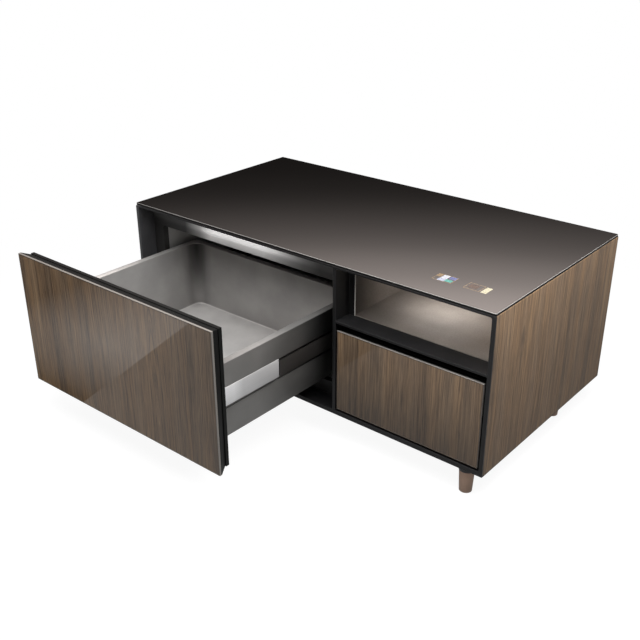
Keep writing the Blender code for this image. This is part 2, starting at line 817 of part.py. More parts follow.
def front_sheet(name, left, right, high, parent):
    """Wood-look glass sheet inside the trim."""
    inset = TRIM_WIDTH + GAP
    outline = rectangle(left, right, FRONT_BOTTOM, high, inset, inset)
    bm = across_depth(outline, GAP, FRONT_GLASS_THICK)
    return piece(name, bm, material("walnut_glass", WALNUT, 0.12), parent)


def chamfered_loops(left, right, high):
    """Loops of the chamfered frame behind a drawer front."""
    start = FRONT_GLASS_THICK + GAP
    deep = CHAMFER_BACK - EDGE
    stations = (
        (0, 0, start),
        (0, 0, start + CHAMFER_LIP),
        (CHAMFER_SIDE, CHAMFER_HIGH, deep),
        (CHAMFER_SIDE, CHAMFER_HIGH, CHAMFER_BACK),
    )
    return [
        upright(rectangle(left, right, FRONT_BOTTOM, high, inset_x, inset_z), y)
        for inset_x, inset_z, y in stations
    ]


def fridge_front(parent):
    """Refrigerator drawer front: sheet, trim, chamfered frame, backing plate and gasket."""
    left, right = BAY_LEFT + FRONT_SIDE_GAP, POST_LEFT - FRONT_SIDE_GAP
    high = FRIDGE_FRONT_TOP
    front_trim("fridge_front_trim", left, right, high, parent)
    front_sheet("fridge_front_glass", left, right, high, parent)
    black = material("frame_black", BLACK, 0.45)
    piece("fridge_front_frame", loft(chamfered_loops(left, right, high)), black, parent)
    plate = rectangle(left, right, FRONT_BOTTOM, high, PLATE_SIDE, PLATE_HIGH)
    bm = across_depth(plate, CHAMFER_BACK + GAP, FRONT_DEPTH)
    bevelled(bm, edges_where(bm, lambda co: near(co.y, FRONT_DEPTH)), EDGE)
    piece("fridge_back_plate", bm, black, parent)
    gasket(left + PLATE_SIDE, right - PLATE_SIDE, FRONT_BOTTOM + PLATE_HIGH, high - PLATE_HIGH, parent)


def gasket(left, right, low, high, parent):
    """Soft door gasket: a ring that narrows to its crown, which meets the flange on closing."""
    front = FRONT_DEPTH + GAP
    rear = RECESS_DEPTH
    shoulder = rear - GASKET_CROWN
    outer, inner = GASKET_INSET, GASKET_INSET + GASKET_WIDTH
    section = (
        (outer, front),
        (outer, shoulder),
        (outer + GASKET_WIDTH / 4, rear),
        (inner - GASKET_WIDTH / 4, rear),
        (inner, shoulder),
        (inner, front),
    )
    loops = [upright(rectangle(left, right, low, high, inset, inset), y) for inset, y in section]
    finish = material("gasket", (0.2, 0.2, 0.2), 0.7)
    return piece("door_gasket", loft(loops, closed=True), finish, parent)


# Refrigerator bin


def bin_tub(parent):
    """Bin tub with round corners, its rim turned down into a skirt over each side channel."""
    under_rim = BIN_TOP - TUB_WALL
    half = [
        (TUB_RIGHT, TUB_BOTTOM),
        (TUB_RIGHT, under_rim),
        (BIN_RIGHT - TUB_WALL, under_rim),
        (BIN_RIGHT - TUB_WALL, CHANNEL_TOP),
        (BIN_RIGHT + OVERRUN, CHANNEL_TOP),
        (BIN_RIGHT + OVERRUN, BIN_TOP + OVERRUN),
    ]
    mirrored = [(BIN_LEFT + BIN_RIGHT - x, z) for x, z in reversed(half)]
    bm = across_depth(half + mirrored, BIN_FRONT - OVERRUN, BIN_REAR + OVERRUN)
    made = piece("bin_tub", bm, material("bin_grey", (0.25, 0.25, 0.245), 0.4), parent)
    boolean(made, bin_outside(), "INTERSECT")
    cut(made, bin_hollow())
    rear_skirt = box(
        (BIN_LEFT - OVERRUN, TUB_REAR, BIN_BOTTOM - OVERRUN),
        (BIN_RIGHT + OVERRUN, BIN_REAR + OVERRUN, CHANNEL_TOP),
    )
    return smooth(cut(made, rear_skirt))


def bin_outside():
    """Outside of the bin, with round rear corners and a softened rim."""
    edge = RIM_EDGE
    side = arched(BIN_LEFT, BIN_RIGHT, BIN_FRONT, BIN_REAR, BIN_REAR_ROUND)
    rim = arched(BIN_LEFT + edge, BIN_RIGHT - edge, BIN_FRONT, BIN_REAR - edge, BIN_REAR_ROUND - edge)
    return loft([flat(side, BIN_BOTTOM - OVERRUN), flat(side, BIN_TOP - edge), flat(rim, BIN_TOP)])


def bin_hollow():
    """Inside of the bin, open at its top."""
    left, right = TUB_LEFT + TUB_WALL, TUB_RIGHT - TUB_WALL
    front, rear = BIN_FRONT + TUB_WALL, BIN_REAR - BIN_REAR_RIM
    inset = BIN_FLOOR_ROUND
    bottom = rounded(left + inset, right - inset, front + inset, rear - inset, BIN_CORNER - inset)
    side = rounded(left, right, front, rear, BIN_CORNER)
    floor = TUB_BOTTOM + TUB_FLOOR_THICK
    return loft([flat(bottom, floor), flat(side, floor + inset), flat(side, BIN_TOP + OVERRUN)])


def bin_base(parent):
    """Lower shell round the foot of the tub; its open front end meets the backing plate."""
    sheet = TRAY_SHEET
    left, right, rear = TUB_LEFT - GAP, TUB_RIGHT + GAP, TUB_REAR + GAP
    made = piece(
        "bin_base",
        box((left - sheet, BIN_FRONT, BIN_BOTTOM), (right + sheet, rear + sheet, TRAY_TOP)),
        material("bin_shell", (0.12, 0.12, 0.118), 0.45),
        parent,
    )
    hollow = box(
        (left, BIN_FRONT - OVERRUN, BIN_BOTTOM + sheet),
        (right, rear, TRAY_TOP + OVERRUN),
    )
    return cut(made, hollow)


def rail_cover(side, parent):
    """Bright cover over the front of a side channel, set under the rim's skirt, with bevelled edges."""
    across, upright_span = (-TUB_WALL, COVER_PROUD), (COVER_BOTTOM, COVER_TOP)
    low, high = sided_box(side, *across, *upright_span, BIN_FRONT, COVER_REAR, BIN_FACES)
    bm = box(low, high)
    face = high[0] if side == "right" else low[0]
    rim = edges_where(bm, lambda co: near(co.x, face))
    bevelled(bm, [edge for edge in rim if not on_front(edge)], COVER_BEVEL, 2)
    return piece("rail_cover_" + side, bm, material("silver", (0.6, 0.6, 0.61), 0.25, 0.9), parent)


def on_front(edge):
    """True for an edge on the end that butts against the backing plate."""
    return all(near(vert.co.y, BIN_FRONT) for vert in edge.verts)


def sided_box(side, near_in, far_out, low_z, high_z, front, rear, faces):
    """Corners of a block measured outwards from a drawer's left or right face."""
    left, right = faces
    if side == "right":
        return (right + near_in, front, low_z), (right + far_out, rear, high_z)
    return (left - far_out, front, low_z), (left - near_in, rear, high_z)


# Slides


def channel_section(base_in, lip_out, half, outwards):
    """Section of a slide member: a base strip with a lip along its top and bottom."""
    base_out = base_in + SLIDE_METAL
    tip = lip_out if outwards else base_in - SLIDE_LIP
    back = base_in if outwards else base_out
    face = base_out if outwards else base_in
    inside = half - SLIDE_METAL
    return [
        (back, -half),
        (tip, -half),
        (tip, -inside),
        (face, -inside),
        (face, inside),
        (tip, inside),
        (tip, half),
        (back, half),
    ]


def slide_member(name, section, face, side, height, front, length, parent):
    """One slide member pushed along its drawer's travel."""
    turn = 1 if side == "right" else -1
    points = [(face + turn * out, height + up) for out, up in section]
    bm = across_depth(points, front, front + length)
    return piece(name, bm, material("slide_steel", SLIDE, 0.4, 0.8), parent)


def slide_sections():
    """Sections of the three members, which nest in each other."""
    middle_half = SLIDE_HALF - SLIDE_METAL - GAP
    drawer_half = middle_half - SLIDE_METAL - GAP
    drawer_lip = GAP + SLIDE_METAL + SLIDE_LIP
    return {
        "drawer": channel_section(GAP, drawer_lip, drawer_half, True),
        "middle": channel_section(MIDDLE_MEMBER_OFFSET, 0, middle_half, False),
        "cabinet": channel_section(CABINET_MEMBER_OFFSET, 0, SLIDE_HALF, False),
    }


def slide_set(drawer, face, side, height, front, length, carriers):
    """The three members of one slide, each on its own carrier."""
    sections = slide_sections()
    for member, parent in carriers.items():
        name = drawer + "_slide_" + member + "_" + side
        slide_member(name, sections[member], face, side, height, front, length, parent)


def slide_bracket(side, parent):
    """Strip that carries a cabinet member on the cavity liner, below the rail cover's path."""
    reach = (CABINET_MEMBER_OFFSET + SLIDE_METAL + GAP, CHANNEL_DEPTH + BIN_CLEARANCE - GAP)
    low = CHANNEL_MIDDLE - SLIDE_HALF
    front = FRIDGE_SLIDE_FRONT + BRACKET_SETBACK
    rear = FRIDGE_SLIDE_FRONT + FRIDGE_SLIDE_LENGTH - BRACKET_SETBACK
    strip = box(*sided_box(side, *reach, low, low + BRACKET_HIGH, front, rear, TUB_FACES))
    finish = material("slide_steel", SLIDE, 0.4, 0.8)
    return piece("fridge_slide_bracket_" + side, strip, finish, parent)


# Niche


def niche(parent):
    """Lit niche: its liner, and a light strip under its ceiling."""
    sheet = NICHE_LINER
    outer = rectangle(NICHE_LEFT - sheet, NICHE_RIGHT + sheet, NICHE_FLOOR - sheet, NICHE_TOP + sheet)
    inner = rectangle(NICHE_LEFT, NICHE_RIGHT, NICHE_FLOOR, NICHE_TOP)
    loops = [
        upright(outer, NICHE_BACK + sheet),
        upright(outer, INSIDE_FRONT),
        upright(inner, INSIDE_FRONT),
        upright(inner, NICHE_BACK),
    ]
    piece("niche_liner", loft(loops), material("niche_beige", (0.50, 0.45, 0.40), 0.4), parent)
    ceiling = NICHE_TOP - GAP
    side = NICHE_RIGHT - LIGHT_SIDE_GAP
    section = [
        (side, ceiling),
        (side - LIGHT_WIDTH, ceiling),
        (side - LIGHT_WIDTH * 3 / 4, ceiling - LIGHT_HIGH),
        (side - LIGHT_WIDTH / 4, ceiling - LIGHT_HIGH),
    ]
    strip = across_depth(section, LIGHT_START, LIGHT_START + LIGHT_LENGTH)
    piece("niche_light", strip, material("light", (1.0, 0.92, 0.8), 0.4), parent)


def touch_modules(parent):
    """Display and charging modules that sit in the top board under the glass."""
    finish = material("module", (0.05, 0.05, 0.055), 0.3)
    rows = (
        ("touch_display", DISPLAY_LEFT, DISPLAY_WIDTH),
        ("charging_pad", CHARGER_LEFT, CHARGER_WIDTH),
    )
    for name, left, width in rows:
        low = (left, MODULE_FRONT, UNDER_GLASS - MODULE_THICK)
        high = (left + width, MODULE_FRONT + MODULE_LENGTH, UNDER_GLASS)
        bm = box(low, high)
        bevelled(bm, edges_where(bm, lambda co, z=low[2]: near(co.z, z)), EDGE)
        piece(name, bm, finish, parent)


# Small drawer


def small_front(parent):
    """Small drawer front: sheet, trim and chamfered back."""
    left, right = POST_RIGHT + FRONT_SIDE_GAP, BAY_RIGHT - FRONT_SIDE_GAP
    high = SMALL_FRONT_TOP
    front_trim("small_front_trim", left, right, high, parent)
    front_sheet("small_front_panel", left, right, high, parent)
    loops = chamfered_loops(left, right, high)
    plate = rectangle(left, right, FRONT_BOTTOM, high, PLATE_SIDE, PLATE_HIGH)
    loops += [upright(plate, CHAMFER_BACK), upright(plate, FRONT_DEPTH)]
    piece("small_front_frame", loft(loops), material("frame_black", BLACK, 0.45), parent)


def small_box(parent):
    """Open box of the small drawer."""
    wall = SMALL_BOX_WALL
    made = piece(
        "small_drawer_box",
        box(
            (SMALL_BOX_LEFT, BIN_FRONT, SMALL_BOX_BOTTOM),
            (SMALL_BOX_RIGHT, SMALL_BOX_REAR, SMALL_BOX_TOP),
        ),
        material("box_grey", (0.10, 0.10, 0.10), 0.6),
        parent,
    )
    hollow = box(
        (SMALL_BOX_LEFT + wall, BIN_FRONT + wall, SMALL_BOX_BOTTOM + SMALL_BOX_FLOOR),
        (SMALL_BOX_RIGHT - wall, SMALL_BOX_REAR - wall, SMALL_BOX_TOP + OVERRUN),
    )
    return cut(made, hollow)


# Machine bay


def compressor(parent):
    """Compressor can: domed top, seam round its middle, on a foot plate with round pads."""
    seam = CAN_BOTTOM + CAN_WALL_HIGH / 2
    wall_top = CAN_BOTTOM + CAN_WALL_HIGH
    profile = [
        (0, CAN_BOTTOM),
        (CAN_RADIUS * 3 / 4, CAN_BOTTOM),
        (CAN_RADIUS, CAN_BOTTOM + CAN_DOME_HIGH / 2),
        (CAN_RADIUS, seam - CAN_SEAM_HIGH / 2),
        (CAN_RADIUS + CAN_SEAM, seam - CAN_SEAM_HIGH / 2),
        (CAN_RADIUS + CAN_SEAM, seam + CAN_SEAM_HIGH / 2),
        (CAN_RADIUS, seam + CAN_SEAM_HIGH / 2),
    ]
    for step in range(CAN_DOME_STEPS + 1):
        turn = math.pi / 2 * step / CAN_DOME_STEPS
        profile.append((CAN_RADIUS * math.cos(turn), wall_top + CAN_DOME_HIGH * math.sin(turn)))
    can = turned(profile, (0, 0, 0))
    bmesh.ops.scale(can, verts=can.verts, vec=(CAN_STRETCH_SHARE, 1, 1))
    bmesh.ops.translate(can, verts=can.verts, vec=(COMPRESSOR_X, COMPRESSOR_Y, 0))
    made = piece("compressor", can, material("compressor_black", (0.02, 0.02, 0.02), 0.3), parent)
    plate_low = CAN_BOTTOM - PAD_THICK / 2
    outline = rounded(
        COMPRESSOR_X - PAD_LENGTH / 2,
        COMPRESSOR_X + PAD_LENGTH / 2,
        COMPRESSOR_Y - PAD_WIDTH / 2,
        COMPRESSOR_Y + PAD_WIDTH / 2,
        PAD_FOOT_RADIUS,
    )
    join(made, extruded(flat(outline, plate_low), (0, 0, PAD_THICK)))
    for turn_x in (-1, 1):
        for turn_y in (-1, 1):
            centre = (
                COMPRESSOR_X + turn_x * (PAD_LENGTH / 2 - PAD_FOOT_RADIUS),
                COMPRESSOR_Y + turn_y * (PAD_WIDTH / 2 - PAD_FOOT_RADIUS),
                0,
            )
            radius, top = PAD_FOOT_RADIUS * 3 / 4, plate_low + PAD_THICK / 2
            pad = [(0, FLOOR), (radius, FLOOR), (radius, top), (0, top)]
            join(made, turned(pad, centre, steps=ROUND_STEPS // 2))
    return smooth(made)


def condenser(parent):
    """Condenser: upright fins on a sill between end plates, with tubes through them."""
    left, right = CONDENSER_LEFT, CONDENSER_LEFT + CONDENSER_WIDTH
    sill = FLOOR + CONDENSER_SILL
    rear = CONDENSER_FRONT + CONDENSER_DEPTH
    made = piece(
        "condenser",
        box((left, CONDENSER_FRONT, FLOOR), (right, rear, CONDENSER_TOP)),
        material("condenser_metal", (0.55, 0.55, 0.55), 0.4, 0.8),
        parent,
    )
    spaces = FIN_COUNT + 1
    inner = CONDENSER_WIDTH - 2 * END_PLATE
    pitch = (inner + FIN_THICK) / spaces
    gaps = bmesh.new()
    for index in range(spaces):
        start = left + END_PLATE + pitch * index
        add_box(
            gaps,
            (start, CONDENSER_FRONT - OVERRUN, sill),
            (start + pitch - FIN_THICK, rear + OVERRUN, CONDENSER_TOP + OVERRUN),
        )
    cut(made, gaps)
    middle = CONDENSER_FRONT + CONDENSER_DEPTH / 2
    rise = (CONDENSER_TOP - sill) / (TUBE_ROWS + 1)
    length = CONDENSER_WIDTH - END_PLATE
    for row in range(TUBE_ROWS):
        tube = [(0, 0), (TUBE_RADIUS, 0), (TUBE_RADIUS, length), (0, length)]
        rod = turned(tube, (0, 0, 0), steps=ROUND_STEPS // 3)
        bmesh.ops.rotate(rod, verts=rod.verts, matrix=Matrix.Rotation(math.pi / 2, 3, "Y"))
        start = (left + END_PLATE / 2, middle, sill + rise * (row + 1))
        bmesh.ops.translate(rod, verts=rod.verts, vec=start)
        join(made, rod)
    return made


def fan_shroud(parent):
    """Square fan frame with a round throat, and struts that hold the motor boss behind the rotor."""
    rear = FAN_FRONT + FAN_DEPTH
    half = FAN_SIZE / 2
    outline = rounded(FAN_X - half, FAN_X + half, FAN_Z - half, FAN_Z + half, FAN_CORNER)
    finish = material("fan_black", (0.03, 0.03, 0.03), 0.5)
    made = piece("fan_shroud", across_depth(outline, FAN_FRONT, rear), finish, parent)
    depth = FAN_DEPTH + 2 * OVERRUN
    throat = [(0, 0), (FAN_HOLE_RADIUS, 0), (FAN_HOLE_RADIUS, depth), (0, depth)]
    cut(made, turned(throat, (FAN_X, FAN_FRONT - OVERRUN, FAN_Z), "Y"))
    reach = FAN_HOLE_RADIUS + STRUT_WIDTH
    wide = STRUT_WIDTH / 2
    for half_x, half_z in ((reach, wide), (wide, reach)):
        low = (FAN_X - half_x, rear - STRUT_DEPTH, FAN_Z - half_z)
        join(made, box(low, (FAN_X + half_x, rear - EDGE, FAN_Z + half_z)))
    boss = [(0, 0), (HUB_RADIUS, 0), (HUB_RADIUS, MOTOR_DEPTH), (0, MOTOR_DEPTH)]
    join(made, turned(boss, (FAN_X, rear - MOTOR_DEPTH, FAN_Z), "Y"))
    return smooth(made)


def fan_rotor(parent):
    """Fan rotor about its own axis: a domed hub and pitched blades."""
    depth = FAN_Y - FAN_FRONT - HUB_FRONT_GAP
    hub = [
        (0, -depth),
        (HUB_RADIUS - EDGE, -depth),
        (HUB_RADIUS, -depth + EDGE),
        (HUB_RADIUS, 0),
        (0, 0),
    ]
    finish = material("fan_grey", (0.08, 0.08, 0.08), 0.4)
    made = piece("fan_rotor", turned(hub, (0, 0, 0), "Y"), finish, parent)
    tip = FAN_HOLE_RADIUS - FAN_TIP_GAP
    for index in range(BLADE_COUNT):
        blade = blade_shape(HUB_RADIUS * 3 / 4, tip, -depth / 2)
        spin = Matrix.Rotation(math.tau * index / BLADE_COUNT, 3, "Y")
        bmesh.ops.rotate(blade, verts=blade.verts, matrix=spin)
        join(made, blade)
    return made


def blade_shape(root, tip, middle):
    """One blade along x, less steep towards its tip."""
    loops = []
    chord_shares = (0.45, 0.85, 1.0)
    for index, share in enumerate(chord_shares):
        along = index / (len(chord_shares) - 1)
        radius = root + (tip - root) * along
        angle = BLADE_ROOT_ANGLE + (BLADE_TIP_ANGLE - BLADE_ROOT_ANGLE) * along
        chord = BLADE_CHORD * share / 2
        wall = BLADE_THICK / 2
        loop = []
        for across, through in ((-chord, -wall), (chord, -wall), (chord, wall), (-chord, wall)):
            y = across * math.sin(angle) / 2 + through * math.cos(angle)
            z = across * math.cos(angle) - through * math.sin(angle)
            loop.append((radius, middle + y, z))
        loops.append(loop)
    return loft(loops)


def control_board(parent):
    """Control board on stand-offs from the divider, with its taller parts."""
    wall = MACHINE_LEFT
    face = wall + BOARD_STAND
    rear = BOARD_FRONT + BOARD_LENGTH
    made = piece(
        "control_board",
        box((face, BOARD_FRONT, BOARD_LOW), (face + BOARD_THICK, rear, BOARD_HIGH)),
        material("board_green", (0.02, 0.12, 0.05), 0.5),
        parent,
    )
    inset = STAND_RADIUS * 2
    for y in (BOARD_FRONT + inset, rear - inset):
        for z in (BOARD_LOW + inset, BOARD_HIGH - inset):
            low = (wall, y - STAND_RADIUS, z - STAND_RADIUS)
            join(made, box(low, (face + BOARD_THICK / 2, y + STAND_RADIUS, z + STAND_RADIUS)))
    length_shares = ((0.12, 0.30, 0.15, 0.40), (0.45, 0.62, 0.15, 0.50), (0.25, 0.80, 0.62, 0.80))
    for start, end, low_share, high_share in length_shares:
        front, back = BOARD_FRONT + BOARD_LENGTH * start, BOARD_FRONT + BOARD_LENGTH * end
        bottom, top = BOARD_LOW + BOARD_TALL * low_share, BOARD_LOW + BOARD_TALL * high_share
        join(made, box((face + BOARD_THICK / 2, front, bottom), (face + PARTS_HIGH, back, top)))
    return made


def power_inlet(parent):
    """Power inlet in the back panel: flange, recess and three flat pins."""
    right, high = INLET_LEFT + INLET_WIDTH, INLET_LOW + INLET_HIGH
    side = INLET_FLANGE_SIDE
    flange = rounded(INLET_LEFT - side, right + side, INLET_LOW - side, high + side, side, 3)
    made = piece(
        "power_inlet",
        across_depth(flange, BACK_REAR + GAP, TABLE_DEPTH),
        material("inlet_black", (0.02, 0.02, 0.02), 0.5),
        parent,
    )
    front = BACK_REAR - INLET_BODY_DEPTH
    join(made, box((INLET_LEFT, front, INLET_LOW), (right, BACK_REAR + BACK_INSET / 2, high)))
    wall = INLET_WALL
    mouth = rounded(INLET_LEFT + wall, right - wall, INLET_LOW + wall, high - wall, wall, 3)
    cut(made, across_depth(mouth, front + wall, TABLE_DEPTH + OVERRUN))
    middle_x, middle_z = (INLET_LEFT + right) / 2, (INLET_LOW + high) / 2
    for step in (-1, 0, 1):
        x = middle_x + INLET_PIN_STEP * step
        lift = INLET_PIN * (1 if step else -1) / 2
        low = (x - INLET_PIN / 2, front + wall / 2, middle_z + lift - INLET_PIN)
        join(made, box(low, (x + INLET_PIN / 2, BACK_REAR - wall, middle_z + lift + INLET_PIN)))
    return made


def discharge_pipe(parent):
    """Pipe that rises from the compressor's dome, arches over and drops to the condenser."""
    start = Vector((COMPRESSOR_X, COMPRESSOR_Y, CAN_TOP + GAP))
    middle_y = CONDENSER_FRONT + CONDENSER_DEPTH / 2
    end = Vector((CONDENSER_LEFT + END_PLATE / 2, middle_y, CONDENSER_TOP + GAP))
    curve = bpy.data.curves.new("discharge_pipe", "CURVE")
    curve.dimensions = "3D"
    curve.bevel_depth = PIPE_RADIUS
    curve.bevel_resolution = 2
    curve.use_fill_caps = True
    spline = curve.splines.new("POLY")
    spline.points.add(PIPE_BEND_POINTS)
    high = max(start.z, end.z) + PIPE_RISE
    for index in range(PIPE_BEND_POINTS + 1):
        along = index / PIPE_BEND_POINTS
        ease = along * along * (3 - 2 * along)
        place = start.lerp(end, ease)
        arch = math.sin(math.pi * along) ** (1 / 2)
        place.z += (high - place.z) * arch
        spline.points[index].co = (*place, 1)
    curve.materials.append(material("copper", (0.55, 0.25, 0.12), 0.3, 0.9))
    made = bpy.data.objects.new("discharge_pipe", curve)
    made.parent = parent
    bpy.context.scene.collection.objects.link(made)
    return made


# Assembly


def cabinet(parent):
    """Everything that stands still."""
    glass_top(parent)
    top_board(parent)
    side_panel("side_panel_left", 0, 0, parent)
    side_panel("side_panel_right", TABLE_WIDTH - SIDE_THICK, TABLE_WIDTH, parent)
    front_frame(parent)
    base_panel(parent)
    back_panel(parent)
    inner_walls(parent)
    feet(parent)
    face_flange(parent)
    cavity_liner(parent)
    insulation(parent)
    evaporator(parent)
    niche(parent)
    touch_modules(parent)
    compressor(parent)
    condenser(parent)
    fan_shroud(parent)
    control_board(parent)
    power_inlet(parent)
    discharge_pipe(parent)


def slides(root, fridge_drawer, fridge_middle, small_drawer, small_middle):
    """Telescopic slides of both drawers."""
    fridge = {"drawer": fridge_drawer, "middle": fridge_middle, "cabinet": root}
    small = {"drawer": small_drawer, "middle": small_middle, "cabinet": root}
    faces = {"left": (TUB_LEFT, SMALL_BOX_LEFT), "right": (TUB_RIGHT, SMALL_BOX_RIGHT)}
    for side, (fridge_face, small_face) in faces.items():
        run = (CHANNEL_MIDDLE, FRIDGE_SLIDE_FRONT, FRIDGE_SLIDE_LENGTH)
        slide_set("fridge", fridge_face, side, *run, fridge)
        slide_bracket(side, root)
        run = (SMALL_SLIDE_HEIGHT, SMALL_SLIDE_FRONT, SMALL_SLIDE_LENGTH)
        slide_set("small", small_face, side, *run, small)


def main():
    """Build the table."""
    clear_scene()
    corner = (-TABLE_WIDTH / 2, (DRAWER_OPEN - TABLE_DEPTH) / 2, FOOT_HEIGHT)
    root = carrier("table", corner)
    fridge_drawer = carrier("fridge_drawer", (0, -DRAWER_OPEN, 0), root)
    fridge_middle = carrier("fridge_slide_middle", (0, -DRAWER_OPEN / 2, 0), root)
    small_drawer = carrier("small_drawer", (0, 0, 0), root)
    small_middle = carrier("small_slide_middle", (0, 0, 0), root)
    fan = carrier("fan", (FAN_X, FAN_Y, FAN_Z), root)
    cabinet(root)
    fridge_front(fridge_drawer)
    bin_tub(fridge_drawer)
    bin_base(fridge_drawer)
    for side in ("left", "right"):
        rail_cover(side, fridge_drawer)
    small_front(small_drawer)
    small_box(small_drawer)
    slides(root, fridge_drawer, fridge_middle, small_drawer, small_middle)
    fan_rotor(fan)


main()
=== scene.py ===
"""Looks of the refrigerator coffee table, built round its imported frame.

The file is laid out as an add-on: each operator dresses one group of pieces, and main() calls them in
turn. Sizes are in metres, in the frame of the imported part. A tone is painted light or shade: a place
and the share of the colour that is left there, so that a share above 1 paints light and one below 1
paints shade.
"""

import json
import math

import bmesh
import bpy
from bpy.props import FloatProperty, FloatVectorProperty, PointerProperty
from mathutils import Matrix, Vector

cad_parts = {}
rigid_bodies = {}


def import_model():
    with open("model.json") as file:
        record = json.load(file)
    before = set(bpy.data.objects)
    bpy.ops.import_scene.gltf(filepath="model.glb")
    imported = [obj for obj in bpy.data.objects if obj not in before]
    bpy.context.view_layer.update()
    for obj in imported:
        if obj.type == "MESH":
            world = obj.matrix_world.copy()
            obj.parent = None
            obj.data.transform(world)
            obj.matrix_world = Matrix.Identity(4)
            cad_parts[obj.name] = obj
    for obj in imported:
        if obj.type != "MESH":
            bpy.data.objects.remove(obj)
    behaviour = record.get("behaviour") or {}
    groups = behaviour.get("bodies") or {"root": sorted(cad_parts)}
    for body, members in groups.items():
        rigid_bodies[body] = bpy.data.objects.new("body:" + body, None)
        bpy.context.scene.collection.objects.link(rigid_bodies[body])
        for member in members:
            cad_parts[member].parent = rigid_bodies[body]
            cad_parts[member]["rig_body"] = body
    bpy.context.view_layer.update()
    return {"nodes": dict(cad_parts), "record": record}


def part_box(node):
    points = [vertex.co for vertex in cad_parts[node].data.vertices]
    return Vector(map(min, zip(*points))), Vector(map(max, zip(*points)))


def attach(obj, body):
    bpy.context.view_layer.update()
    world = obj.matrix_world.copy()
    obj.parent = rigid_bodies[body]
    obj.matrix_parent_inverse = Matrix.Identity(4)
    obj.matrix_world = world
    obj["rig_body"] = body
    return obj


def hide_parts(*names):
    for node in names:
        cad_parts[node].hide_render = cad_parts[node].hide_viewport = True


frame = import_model()

bl_info = {
    "name": "Refrigerator Coffee Table Looks",
    "version": (1, 0, 0),
    "blender": (4, 5, 0),
    "location": "3D View > Sidebar > Table",
    "description": "Finishes and fine pieces for a coffee table with a refrigerator drawer",
    "category": "Object",
}

MERGE = 0.00001
HAIR = 0.0001
ROUND_STRIP = 0.009
FLAT_TURN = math.radians(1)
BEVEL_TURN = math.radians(30)
CAN_TURN = math.radians(35)
FOOT_TURN = math.radians(50)
QUARTER = math.pi / 2
UPRIGHT, LEVEL, SIDEWAYS = 0.3, 0.95, 0.6
WHITE = (1, 1, 1)
SIDES = ("left", "right")

# Lines of the veneer: how close across the grain and along it, detail and roughness
FIGURE = (20, 0.7, 2, 0.5)
STREAKS = (80, 1.5, 3, 0.6)
GROWTH = (230, 5.0, 3, 0.7)
FINE = (560, 12.0, 3, 0.7)
PORES = (1150, 26, 2, 0.5)
CLOUDS = (30, 0.5, 2, 0.5)
LINE_WEIGHTS = ((FIGURE, 0.15), (GROWTH, 0.26), (FINE, 0.44))
STREAK_WEIGHT = 0.15
ARCH, SWAY, STEADY = 0.03, 0.022, 3.0
WALNUT_STOPS = (
    (0.38, "walnut_dark"),
    (0.45, "walnut_grey"),
    (0.50, "walnut_middle"),
    (0.55, "walnut_light"),
    (0.63, "walnut_pale"),
)
CLOUD_STOPS = ((0.42, (0.93, 0.94, 0.95)), (0.58, (1.0, 0.96, 0.90)))
PORE_SHARE, PORE_STOPS, PORE_DEPTH = 0.42, ((0.30, 0.62), (0.44, 1.0)), 0.00006
SWAY_SCALE, VENEER_ROUGHNESS = (9, 9, 2.4), (0.38, 0.58)
GLAZING = {"Coat Weight": 1.0, "Coat Roughness": 0.02, "Coat IOR": 1.5, "Specular IOR Level": 0.1}

# Where the growth lines have their heart: along the panel and up
HEARTS = {"left": (0.02, 0.05), "right": (-0.02, 0.12), "fridge": (-0.06, -0.1), "small": (1.31, 0.4)}
SMALL_FRONT_SHIFT = (1.31, 0, 0.7)

# Brushing along X, Y and Z
BRUSHED_X, BRUSHED_Y, BRUSHED_Z = (4, 1500, 1500), (1500, 4, 1500), (1500, 1500, 4)

# Touch fields in the glass: left, front, right and rear, from the table's front left corner
TOUCH_FIELDS = (
    ("white", (180, 181, 188), (0.9125, 0.0857, 0.9280, 0.1060)),
    ("pale", (162, 166, 184), (0.9115, 0.0727, 0.9280, 0.0853)),
    ("teal", (78, 146, 137), (0.9287, 0.0750, 0.9450, 0.0875)),
    ("blue", (90, 96, 138), (0.9305, 0.0910, 0.9465, 0.1055)),
    ("cream", (184, 176, 150), (1.0190, 0.0725, 1.0325, 0.1040)),
    ("brown", (84, 68, 60), (0.9835, 0.0800, 1.0050, 0.0995)),
    ("tan", (128, 106, 78), (0.8998, 0.0905, 0.9110, 0.1050)),
)
OUTLINE_COLOUR = (150, 126, 96)
OUTLINES = ((0.8990, 0.0718, 0.9475, 0.1068), (0.9775, 0.0730, 1.0155, 0.1050))
OUTLINE_WIDTH = 0.001
FIELD_SHIFT = 0.001

GLASS_CORNER, GLASS_CHAMFER = 0.004, 0.0008
# Height of the band of painted shade along the lower edge of a side
SHADE_BAND_HEIGHT = 0.0022
FRAME_ROUND = 0.005
FRAME_TOP_BAR, FRAME_RIGHT_POST = 0.0049, 0.0093
FOOT_SOFT, FOOT_TIP = 0.0008, 0.015

# Rounding of an upper edge, in shares of FOOT_SOFT: how far it runs in, and its middle point
COLLAR_TOP, FOOT_TOP = (2, 1 / 2), (1, 1 / 3)

# Profile of a screw's head, as radius and height, and where the screws are
SCREW_HEAD = (
    (0, 0.0005), (0.0012, 0.0005), (0.0012, 0.0013), (0.0024, 0.0013),
    (0.0031, 0.0008), (0.0033, 0), (0.0033, -0.0006), (0, -0.0006),
)
SCREW_SHARES = (0.012, 0.26, 0.5, 0.74, 0.988)
SCREW_INSET = 0.011
